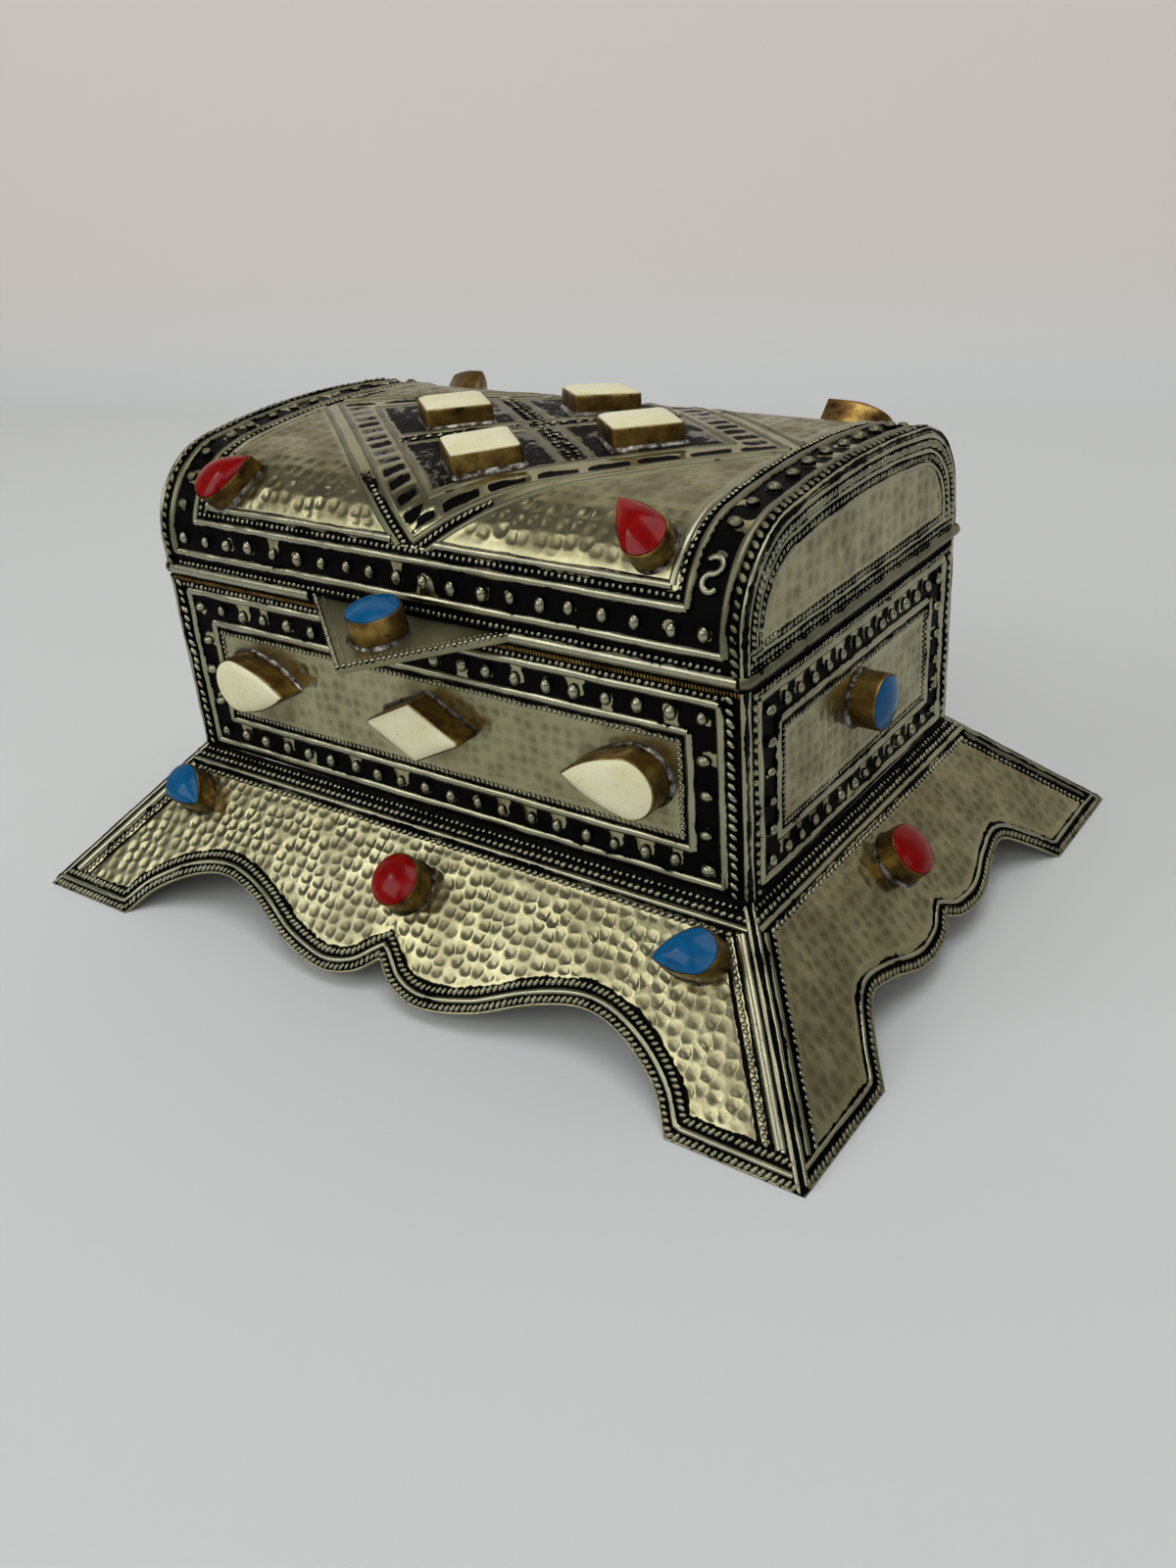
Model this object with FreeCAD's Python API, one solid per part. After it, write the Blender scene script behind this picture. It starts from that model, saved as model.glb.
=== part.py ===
import FreeCAD, Part
import math
import os

# Vaulted jewellery casket: a wooden box clad in embossed nickel-silver sheet, standing on a flared,
# scalloped skirt, with a hinged vaulted lid, a thumb tab and stones in tall brass settings.
# Millimetres. X runs along the box, -Y is the front, +Z is up. The origin is on the floor, under the centre.

# Driving dimensions of the box
BODY_LENGTH = 130.0
BODY_DEPTH = 79.0
BODY_BOTTOM = 26.7
BODY_TOP = 63.8
SEAM_GAP = 0.4
SHEET = 0.8
BOARD = 5.0
FLOOR_BOARD = 6.0
LINING = 1.0
FLOOR_LINING = 1.5
LINING_BELOW_EDGE = 0.6

# Flared skirt: its footprint, and the lower outline of one half as (distance from the middle,
# way up the slope)
FOOT_LENGTH = 180.0
FOOT_DEPTH = 136.6
FRONT_SCALLOP = [(65.5, 0.0), (60.5, 6.8), (52.0, 12.4), (43.5, 14.4), (34.0, 12.0),
                 (23.0, 6.8), (12.5, 4.4), (5.0, 6.0), (0.0, 10.0)]
END_SCALLOP = [(41.0, 0.0), (35.0, 6.6), (29.0, 11.4), (22.0, 10.4), (15.0, 7.9),
               (10.0, 7.2), (4.0, 8.0), (0.0, 10.2)]
FLANGE_WIDTH = 9.0
TACK_INSET = 5.5

# Vaulted lid: straight side, rounded shoulder and flat crown arc
LID_SIDE = 6.6
SHOULDER_RADIUS = 16.9
CROWN_RISE = 1.5
RIM_WIRE_RADIUS = 1.2

# Thumb tab, a drooping triangular plate on the lid's front edge
TAB_HALF_WIDTH = 22.9
TAB_LENGTH = 18.5
TAB_THICKNESS = 1.3
TAB_DROOP = 10.0
TAB_CENTRE_X = -2.2
TAB_STONE_FROM_LID = 7.0
TAB_ROOT = 2.0

# Hinge along the back edge
HINGE_LENGTH = 112.0
KNUCKLES = 7
KNUCKLE_GAP = 0.3
KNUCKLE_RADIUS = 1.9
HINGE_STANDOFF = 2.3
PIN_RADIUS = 0.9
PIN_CLEARANCE = 0.05
PIN_OVERHANG = 0.8
LEAF_THICKNESS = 0.8
LEAF_REACH = 8.3
LID_LEAF_REACH = 6.4
LEAF_NOTCH = 2.4
NAIL_RADIUS = 0.6
NAIL_HEAD_RADIUS = 1.3
NAIL_HEAD_RISE = 0.7
NAIL_LENGTH = 5.0
NAIL_POSITIONS = [-44.0, -22.0, 0.0, 22.0, 44.0]
TACK_POSITIONS_LONG = [-40.0, 0.0, 40.0]
TACK_POSITIONS_SHORT = [-18.0, 18.0]

# Stones and their settings
BEZEL_WALL = 0.6
BEZEL_HEIGHT = 5.4
TABLET_BEZEL_HEIGHT = 3.8
STONE_DOME = 1.3
ROUND_RADIUS = 4.5
DROP_HEAD_ANGLE = 70.0
DROP_SWELL = (-0.035, 0.06)
BONE_DROP = (17.0, 10.0)
BONE_DROP_CENTRE_X = 42.0
BONE_LOZENGE = (10.2, 5.2)
FRONT_STONE_Z = 45.2
END_STONE_Z = 47.0
BLUE_DROP = (10.6, 7.0)
BLUE_DROP_CENTRE = (59.8, 28.0)
BACK_BLUE_DROP_CENTRE = (48.0, 28.0)
BLUE_DROP_TURN = 24.0
SKIRT_RED_UP_SLOPE = 24.0
END_SKIRT_RED_ALONG = -1.4
END_SKIRT_BEZEL_HEIGHT = 4.5
RED_DROP = (11.8, 7.0)
RED_DROP_TURN = 38.0
# Each red drop: place along the lid, angle on its shoulder, height of its bezel
FRONT_RED_DROPS = [(44.8, 49.6, 4.0), (-46.5, 44.7, 4.0)]
BACK_RED_DROPS = [(48.5, 42.0, BEZEL_HEIGHT), (-46.0, 42.0, BEZEL_HEIGHT)]
TABLET_LONG_SIDE = 11.5
TABLET_SHORT_SIDE = 10.0
TABLET_SLANT = 40.0
TABLETS_CENTRE = (3.0, -2.7)
TABLET_X = 21.0
TABLET_Y = 18.1
SETTING_SINK = 6.0

# Reach of a cutting block past what it cuts
CUT_MARGIN = 5.0

# Worked-out places
HALF_LENGTH = BODY_LENGTH / 2
HALF_DEPTH = BODY_DEPTH / 2
HALF_FOOT_LENGTH = FOOT_LENGTH / 2
HALF_FOOT_DEPTH = FOOT_DEPTH / 2
BOARD_LENGTH = HALF_LENGTH - SHEET
BOARD_DEPTH = HALF_DEPTH - SHEET
INSIDE_LENGTH = BOARD_LENGTH - BOARD
INSIDE_DEPTH = BOARD_DEPTH - BOARD
FLOOR_TOP = BODY_BOTTOM + FLOOR_BOARD
LID_BOTTOM = BODY_TOP + SEAM_GAP
LID_HEIGHT = LID_SIDE + SHOULDER_RADIUS + CROWN_RISE
SHOULDER_Y = HALF_DEPTH - SHOULDER_RADIUS
SHOULDER_Z = LID_BOTTOM + LID_SIDE
CROWN_ABOVE_SHOULDER = LID_HEIGHT - LID_SIDE
CROWN_RADIUS = ((SHOULDER_Y ** 2 + CROWN_ABOVE_SHOULDER ** 2 - SHOULDER_RADIUS ** 2)
                / (2 * (CROWN_ABOVE_SHOULDER - SHOULDER_RADIUS)))
CROWN_Z = LID_BOTTOM + LID_HEIGHT - CROWN_RADIUS
HINGE_Y = HALF_DEPTH + HINGE_STANDOFF
HINGE_Z = BODY_TOP + SEAM_GAP / 2
TAB_TOP = LID_BOTTOM + TAB_THICKNESS

ORIGIN = FreeCAD.Vector(0, 0, 0)
ALONG_X = FreeCAD.Vector(1, 0, 0)
ALONG_Y = FreeCAD.Vector(0, 1, 0)
ALONG_Z = FreeCAD.Vector(0, 0, 1)


def box(x, y, z):
    """Block between the two values given for each axis."""
    corner = FreeCAD.Vector(x[0], y[0], z[0])
    return Part.makeBox(x[1] - x[0], y[1] - y[0], z[1] - z[0], corner)


def half_turned(shape):
    """Copy of a shape on the opposite side of the box."""
    copy = shape.copy()
    copy.rotate(ORIGIN, ALONG_Z, 180)
    return copy


def export(name, *solids):
    """Write one piece, or one group of like pieces, as a named part."""
    shape = solids[0] if len(solids) == 1 else Part.makeCompound(list(solids))
    shape.exportStep("parts/" + name + ".step")


def local_frame(point, right, normal):
    """Placement whose X is right and whose Z is the outward normal of the surface at a point."""
    up = normal.cross(right)
    return FreeCAD.Placement(point, FreeCAD.Rotation(right, up, normal, "ZXY"))


# Vault profile, shared by the lid's sheet, boards and lining

def vault_point(angle, inset=0.0):
    """Point of the front shoulder at an angle above the level, as (y, z)."""
    reach = SHOULDER_RADIUS - inset
    turn = math.radians(angle)
    return -SHOULDER_Y - reach * math.cos(turn), SHOULDER_Z + reach * math.sin(turn)


def shoulder_end_angle():
    """Angle above the level where the shoulder runs into the crown."""
    return math.degrees(math.atan2(SHOULDER_Z - CROWN_Z, SHOULDER_Y))


def vault_solid(inset, x):
    """Solid under the vault, its curved face set in from the outside of the lid."""
    end_angle = shoulder_end_angle()
    side_y = HALF_DEPTH - inset
    crown_top = LID_BOTTOM + LID_HEIGHT - inset
    shoulder_mid = vault_point(end_angle / 2, inset)
    shoulder_end = vault_point(end_angle, inset)

    def at(y, z):
        return FreeCAD.Vector(x[0], y, z)

    edges = [
        Part.LineSegment(at(-side_y, LID_BOTTOM), at(-side_y, SHOULDER_Z)),
        Part.Arc(at(-side_y, SHOULDER_Z), at(*shoulder_mid), at(*shoulder_end)),
        Part.Arc(at(*shoulder_end), at(0, crown_top), at(-shoulder_end[0], shoulder_end[1])),
        Part.Arc(at(-shoulder_end[0], shoulder_end[1]), at(-shoulder_mid[0], shoulder_mid[1]),
                 at(side_y, SHOULDER_Z)),
        Part.LineSegment(at(side_y, SHOULDER_Z), at(side_y, LID_BOTTOM)),
        Part.LineSegment(at(side_y, LID_BOTTOM), at(-side_y, LID_BOTTOM)),
    ]
    wire = Part.Wire([edge.toShape() for edge in edges])
    return Part.Face(wire).extrude(FreeCAD.Vector(x[1] - x[0], 0, 0))


# Wooden box

def boards():
    """Floor, front, back and end boards of the box."""
    wall_z = (FLOOR_TOP, BODY_TOP)
    floor = box((-BOARD_LENGTH, BOARD_LENGTH), (-BOARD_DEPTH, BOARD_DEPTH), (BODY_BOTTOM, FLOOR_TOP))
    front = box((-BOARD_LENGTH, BOARD_LENGTH), (-BOARD_DEPTH, -INSIDE_DEPTH), wall_z)
    right = box((INSIDE_LENGTH, BOARD_LENGTH), (-INSIDE_DEPTH, INSIDE_DEPTH), wall_z)
    return floor, front, right


def panels():
    """Sheet cladding of the front and of the right end."""
    z = (BODY_BOTTOM, BODY_TOP)
    front = box((-HALF_LENGTH, HALF_LENGTH), (-HALF_DEPTH, -BOARD_DEPTH), z)
    right = box((BOARD_LENGTH, HALF_LENGTH), (-BOARD_DEPTH, BOARD_DEPTH), z)
    return front, right


def linings():
    """Velvet on the floor, the front wall and the right end of the compartment."""
    top = BODY_TOP - LINING_BELOW_EDGE
    wall_z = (FLOOR_TOP + FLOOR_LINING, top)
    floor = box((-INSIDE_LENGTH, INSIDE_LENGTH), (-INSIDE_DEPTH, INSIDE_DEPTH),
                (FLOOR_TOP, FLOOR_TOP + FLOOR_LINING))
    front = box((-INSIDE_LENGTH, INSIDE_LENGTH), (-INSIDE_DEPTH, LINING - INSIDE_DEPTH), wall_z)
    right = box((INSIDE_LENGTH - LINING, INSIDE_LENGTH),
                (LINING - INSIDE_DEPTH, INSIDE_DEPTH - LINING), wall_z)
    return floor, front, right


# Flared skirt

class SkirtSide:
    """One sloping side of the skirt, with its own frame: u along the box, s up the slope."""

    def __init__(self, top_reach, foot_reach, along, outward):
        self.top_reach = top_reach
        self.foot_reach = foot_reach
        self.along = along
        self.outward = outward
        self.run = foot_reach - top_reach
        self.slope = math.hypot(self.run, BODY_BOTTOM)
        self.sheet_run = SHEET * self.slope / BODY_BOTTOM
        self.normal = (outward * BODY_BOTTOM + ALONG_Z * self.run) / self.slope
        self.up_slope = (ALONG_Z * BODY_BOTTOM - outward * self.run) / self.slope

    def point(self, u, s):
        """Point on the outer face."""
        return self.outward * self.foot_reach + self.along * u + self.up_slope * s

    def placement(self, u, s):
        return local_frame(self.point(u, s), self.along, self.normal)


FRONT_SKIRT = SkirtSide(HALF_DEPTH, HALF_FOOT_DEPTH, ALONG_X, -ALONG_Y)
RIGHT_SKIRT = SkirtSide(HALF_LENGTH, HALF_FOOT_LENGTH, ALONG_Y, ALONG_X)


def hexahedron(lower, upper):
    """Solid between two four-cornered faces."""
    faces = [lower, upper]
    faces += [[lower[i], lower[i - 1], upper[i - 1], upper[i]] for i in range(4)]
    shell = Part.Shell([Part.Face(Part.makePolygon(corners + corners[:1])) for corners in faces])
    solid = Part.Solid(shell)
    if solid.Volume < 0:
        solid.reverse()
    return solid


def scallop_cutter(side, outline):
    """Prism that cuts the arches and the pointed middle out of a skirt's lower edge."""
    right_half = [FreeCAD.Vector(u, s, 0) for u, s in outline]
    left_half = [FreeCAD.Vector(-u, s, 0) for u, s in reversed(outline)]
    right_curve = Part.BSplineCurve()
    right_curve.interpolate(right_half)
    left_curve = Part.BSplineCurve()
    left_curve.interpolate(left_half)
    foot = outline[0][0]
    corners = [FreeCAD.Vector(-foot, 0, 0), FreeCAD.Vector(-foot, -CUT_MARGIN, 0),
               FreeCAD.Vector(foot, -CUT_MARGIN, 0), FreeCAD.Vector(foot, 0, 0)]
    edges = [right_curve.toShape(), left_curve.toShape()]
    edges += [Part.makeLine(corners[i], corners[i + 1]) for i in range(3)]
    wire = Part.Wire(Part.__sortEdges__(edges))
    prism = Part.Face(wire).extrude(FreeCAD.Vector(0, 0, 2 * CUT_MARGIN))
    prism.translate(FreeCAD.Vector(0, 0, -CUT_MARGIN))
    prism.Placement = side.placement(0, 0).multiply(prism.Placement)
    return prism


def skirt(side, neighbour, half_top, half_foot, outline, tacks):
    """Sloping sheet mitred at the hips, with a flange under the floor board."""

    def corner(u, out, z):
        return side.along * u + side.outward * out + ALONG_Z * z

    def ring(z, half, reach):
        inner_half = half - neighbour.sheet_run
        inner_reach = reach - side.sheet_run
        return [corner(-half, reach, z), corner(half, reach, z),
                corner(inner_half, inner_reach, z), corner(-inner_half, inner_reach, z)]

    sheet = hexahedron(ring(0, half_foot, side.foot_reach), ring(BODY_BOTTOM, half_top, side.top_reach))
    edge_out = side.top_reach - side.sheet_run / 2
    edge_half = half_top - neighbour.sheet_run - side.sheet_run / 2
    inner_out = edge_out - FLANGE_WIDTH
    inner_half = edge_half - FLANGE_WIDTH - SHEET
    flange_corners = [corner(-edge_half, edge_out, BODY_BOTTOM - SHEET),
                      corner(edge_half, edge_out, BODY_BOTTOM - SHEET),
                      corner(inner_half, inner_out, BODY_BOTTOM - SHEET),
                      corner(-inner_half, inner_out, BODY_BOTTOM - SHEET)]
    flange = Part.Face(Part.makePolygon(flange_corners + flange_corners[:1])).extrude(ALONG_Z * SHEET)
    whole = sheet.fuse(flange).removeSplitter()
    whole = whole.cut(scallop_cutter(side, outline))
    return whole.cut(Part.makeCompound(tacks)).Solids[0]


def tack(point):
    """Small tack driven up into the floor board, its head under the skirt's flange."""
    shank = Part.makeCylinder(NAIL_RADIUS, NAIL_LENGTH, point, ALONG_Z)
    head = Part.makeCylinder(NAIL_HEAD_RADIUS, NAIL_HEAD_RISE, point - ALONG_Z * NAIL_HEAD_RISE, ALONG_Z)
    return shank.fuse(head).removeSplitter()


def skirt_tacks():
    """Tacks of the four flanges."""
    z = BODY_BOTTOM - SHEET
    places = []
    for sign in (-1, 1):
        places += [FreeCAD.Vector(x, sign * (HALF_DEPTH - TACK_INSET), z) for x in TACK_POSITIONS_LONG]
        places += [FreeCAD.Vector(sign * (HALF_LENGTH - TACK_INSET), y, z) for y in TACK_POSITIONS_SHORT]
    return [tack(place) for place in places]


# Hinge

def knuckle_spans(first):
    """Start and length along X of every second knuckle."""
    length = (HINGE_LENGTH - (KNUCKLES - 1) * KNUCKLE_GAP) / KNUCKLES
    return [(-HINGE_LENGTH / 2 + i * (length + KNUCKLE_GAP), length) for i in range(first, KNUCKLES, 2)]


def hinge_leaf(side, first, bore, reach):
    """Leaf plate with its knuckles. side is -1 for the leaf on the box, 1 for the leaf on the lid."""
    y = (HALF_DEPTH, HALF_DEPTH + LEAF_THICKNESS)
    plate_z = sorted((HINGE_Z + side * LEAF_NOTCH, HINGE_Z + side * reach))
    leaf = box((-HINGE_LENGTH / 2, HINGE_LENGTH / 2), y, plate_z)
    for start, length in knuckle_spans(first):
        tongue_z = sorted((HINGE_Z, HINGE_Z + side * (LEAF_NOTCH + SHEET)))
        tongue = box((start, start + length), y, tongue_z)
        barrel = Part.makeCylinder(KNUCKLE_RADIUS, length, FreeCAD.Vector(start, HINGE_Y, HINGE_Z), ALONG_X)
        leaf = leaf.fuse([tongue, barrel])
    hole = Part.makeCylinder(bore, 2 * HINGE_LENGTH, FreeCAD.Vector(-HINGE_LENGTH, HINGE_Y, HINGE_Z), ALONG_X)
    return leaf.removeSplitter().cut(hole)


def hinge_pin():
    """Straight wire through all the knuckles."""
    length = HINGE_LENGTH + 2 * PIN_OVERHANG
    return Part.makeCylinder(PIN_RADIUS, length, FreeCAD.Vector(-length / 2, HINGE_Y, HINGE_Z), ALONG_X)


def nail(x, z):
    """Round-headed nail driven in through a hinge leaf from the back."""
    face_y = HALF_DEPTH + LEAF_THICKNESS
    shank_length = NAIL_LENGTH + LEAF_THICKNESS
    shank = Part.makeCylinder(NAIL_RADIUS, shank_length, FreeCAD.Vector(x, face_y, z), -ALONG_Y)
    sphere_radius = (NAIL_HEAD_RADIUS ** 2 + NAIL_HEAD_RISE ** 2) / (2 * NAIL_HEAD_RISE)
    sphere = Part.makeSphere(sphere_radius, FreeCAD.Vector(x, face_y + NAIL_HEAD_RISE - sphere_radius, z))
    outside = box((x - CUT_MARGIN, x + CUT_MARGIN), (face_y, face_y + CUT_MARGIN),
                  (z - CUT_MARGIN, z + CUT_MARGIN))
    return shank.fuse(sphere.common(outside))


# Lid trim

def rim_wire():
    """Half-round wire round the lid's lower edge, left open where the thumb tab sits."""
    z = LID_BOTTOM + RIM_WIRE_RADIUS
    corners = [FreeCAD.Vector(-HALF_LENGTH, HALF_DEPTH, z), FreeCAD.Vector(-HALF_LENGTH, -HALF_DEPTH, z),
               FreeCAD.Vector(HALF_LENGTH, -HALF_DEPTH, z), FreeCAD.Vector(HALF_LENGTH, HALF_DEPTH, z)]
    pieces = []
    for i in range(3):
        run = corners[i + 1] - corners[i]
        pieces.append(Part.makeCylinder(RIM_WIRE_RADIUS, run.Length, corners[i], run))
    pieces += [Part.makeSphere(RIM_WIRE_RADIUS, corner) for corner in corners[1:3]]
    wire = pieces[0].fuse(pieces[1:])
    wire_z = (z - CUT_MARGIN, z + CUT_MARGIN)
    inside = box((-HALF_LENGTH, HALF_LENGTH), (-HALF_DEPTH, HALF_DEPTH + CUT_MARGIN), wire_z)
    at_tab = box((TAB_CENTRE_X - TAB_HALF_WIDTH, TAB_CENTRE_X + TAB_HALF_WIDTH),
                 (-HALF_DEPTH - CUT_MARGIN, -HALF_DEPTH), wire_z)
    return wire.cut([inside, at_tab]).removeSplitter()


def tab_placement(out):
    """Frame on the tab's upper face, a distance out from the lid."""
    droop = math.radians(TAB_DROOP)
    normal = FreeCAD.Vector(0, -math.sin(droop), math.cos(droop))
    point = FreeCAD.Vector(TAB_CENTRE_X, -HALF_DEPTH - out * math.cos(droop), TAB_TOP - out * math.sin(droop))
    return local_frame(point, ALONG_X, normal)


def lift_tab():
    """Triangular plate, its straight side against the lid."""
    widen = TAB_HALF_WIDTH * TAB_ROOT / TAB_LENGTH
    corners = [FreeCAD.Vector(-TAB_HALF_WIDTH - widen, TAB_ROOT, 0), FreeCAD.Vector(0, -TAB_LENGTH, 0),
               FreeCAD.Vector(TAB_HALF_WIDTH + widen, TAB_ROOT, 0)]
    plate = Part.Face(Part.makePolygon(corners + corners[:1])).extrude(FreeCAD.Vector(0, 0, -TAB_THICKNESS))
    plate.Placement = tab_placement(0).multiply(plate.Placement)
    lid_side = box((-HALF_LENGTH, HALF_LENGTH), (-HALF_DEPTH, 0), (0, 2 * LID_BOTTOM))
    below_lid = box((-HALF_LENGTH, HALF_LENGTH), (-HALF_DEPTH - TAB_ROOT, 0), (0, LID_BOTTOM))
    return plate.cut(lid_side).cut(below_lid)


# Stones and settings. Outlines lie in a local XY plane, with the stone's middle at its origin.

def round_outline(radius):
    return Part.Wire(Part.makeCircle(radius))


def drop_outline(length, width):
    """Drop with its point towards -X and gently swelling sides."""
    radius = width / 2
    centre = length / 2 - radius
    tip = FreeCAD.Vector(-length / 2, 0, 0)
    lean = math.radians(DROP_HEAD_ANGLE)
    side = FreeCAD.Vector(centre - radius * math.cos(lean), radius * math.sin(lean), 0)
    swell = (tip + side) / 2 + FreeCAD.Vector(*DROP_SWELL, 0) * width

    def mirrored(point):
        return FreeCAD.Vector(point.x, -point.y, 0)

    edges = [Part.Arc(tip, swell, side),
             Part.Arc(side, FreeCAD.Vector(centre + radius, 0, 0), mirrored(side)),
             Part.Arc(mirrored(side), mirrored(swell), tip)]
    return Part.Wire([edge.toShape() for edge in edges])


def polygon_outline(corners):
    points = [FreeCAD.Vector(x, y, 0) for x, y in corners]
    return Part.makePolygon(points + points[:1])


def lozenge_outline(half_width, half_height):
    return polygon_outline([(half_width, 0), (0, half_height), (-half_width, 0), (0, -half_height)])


def tablet_outline():
    """Parallelogram with both pairs of sides along the edges of the lid's diamond."""
    slant = math.radians(TABLET_SLANT)
    along = (TABLET_LONG_SIDE * math.cos(slant) / 2, TABLET_LONG_SIDE * math.sin(slant) / 2)
    across = (-TABLET_SHORT_SIDE * math.cos(slant) / 2, TABLET_SHORT_SIDE * math.sin(slant) / 2)
    corners = [(i * along[0] + j * across[0], i * along[1] + j * across[1])
               for i, j in ((1, 1), (-1, 1), (-1, -1), (1, -1))]
    return polygon_outline(corners)


def setting(outline, placement, turn=0.0, carrier=None, rim=BEZEL_HEIGHT):
    """Bezel strip bent round an outline, and the domed stone inside it, standing on a surface."""
    base = -SETTING_SINK if carrier else 0.0
    bezel_face = Part.Face(outline.makeOffset2D(BEZEL_WALL))
    stone_face = Part.Face(outline)
    outer = bezel_face.extrude(FreeCAD.Vector(0, 0, rim - base))
    inner = stone_face.extrude(FreeCAD.Vector(0, 0, rim - base + 2 * STONE_DOME))
    for prism in (outer, inner):
        prism.translate(FreeCAD.Vector(0, 0, base))
    reach = max(vertex.Point.Length for vertex in inner.Vertexes if abs(vertex.Point.z - base) < 0.01)
    dome_radius = (reach ** 2 + STONE_DOME ** 2) / (2 * STONE_DOME)
    dome = Part.makeSphere(dome_radius, FreeCAD.Vector(0, 0, rim + STONE_DOME - dome_radius))
    stone = inner.common(dome)
    bezel = outer.cut(inner)
    frame = placement.multiply(FreeCAD.Placement(ORIGIN, FreeCAD.Rotation(ALONG_Z, turn)))
    result = []
    for shape in (stone, bezel):
        shape.Placement = frame.multiply(shape.Placement)
        if carrier:
            shape = shape.cut(carrier)
        result.append(shape.Solids[0])
    return result


def front_settings():
    """Lozenge between two drops on the front panel, the drops' points towards the middle."""

    def frame(x):
        return local_frame(FreeCAD.Vector(x, -HALF_DEPTH, FRONT_STONE_Z), ALONG_X, -ALONG_Y)

    lozenge = setting(lozenge_outline(*BONE_LOZENGE), frame(0))
    drops = [setting(drop_outline(*BONE_DROP), frame(BONE_DROP_CENTRE_X)),
             setting(drop_outline(*BONE_DROP), frame(-BONE_DROP_CENTRE_X), turn=180)]
    return lozenge, drops


def front_skirt_settings(drop_centre):
    """Round red stone between two blue drops on the front skirt."""
    red = setting(round_outline(ROUND_RADIUS), FRONT_SKIRT.placement(0, SKIRT_RED_UP_SLOPE))
    u, s = drop_centre
    drops = [setting(drop_outline(*BLUE_DROP), FRONT_SKIRT.placement(u, s), turn=BLUE_DROP_TURN),
             setting(drop_outline(*BLUE_DROP), FRONT_SKIRT.placement(-u, s), turn=180 - BLUE_DROP_TURN)]
    return red, drops


def lid_drop_settings(carrier, places):
    """Red drops on the front shoulder, their points up and towards the middle."""
    drops = []
    for x, angle, rim in places:
        y, z = vault_point(angle)
        lean = math.radians(angle)
        normal = FreeCAD.Vector(0, -math.cos(lean), math.sin(lean))
        turn = -RED_DROP_TURN if x > 0 else 180 + RED_DROP_TURN
        frame = local_frame(FreeCAD.Vector(x, y, z), ALONG_X, normal)
        drops.append(setting(drop_outline(*RED_DROP), frame, turn, carrier, rim))
    return drops


def lid_tablet_settings(carrier):
    """Four low bone tablets in a diamond on the lid's crown, a little off its middle."""
    tablets = []
    for right, back in ((0, -TABLET_Y), (0, TABLET_Y), (TABLET_X, 0), (-TABLET_X, 0)):
        x = TABLETS_CENTRE[0] + right
        y = TABLETS_CENTRE[1] + back
        lean = math.asin(y / CROWN_RADIUS)
        normal = FreeCAD.Vector(0, math.sin(lean), math.cos(lean))
        point = FreeCAD.Vector(x, y, CROWN_Z + CROWN_RADIUS * math.cos(lean))
        frame = local_frame(point, ALONG_X, normal)
        tablets.append(setting(tablet_outline(), frame, 0, carrier, TABLET_BEZEL_HEIGHT))
    return tablets


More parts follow.
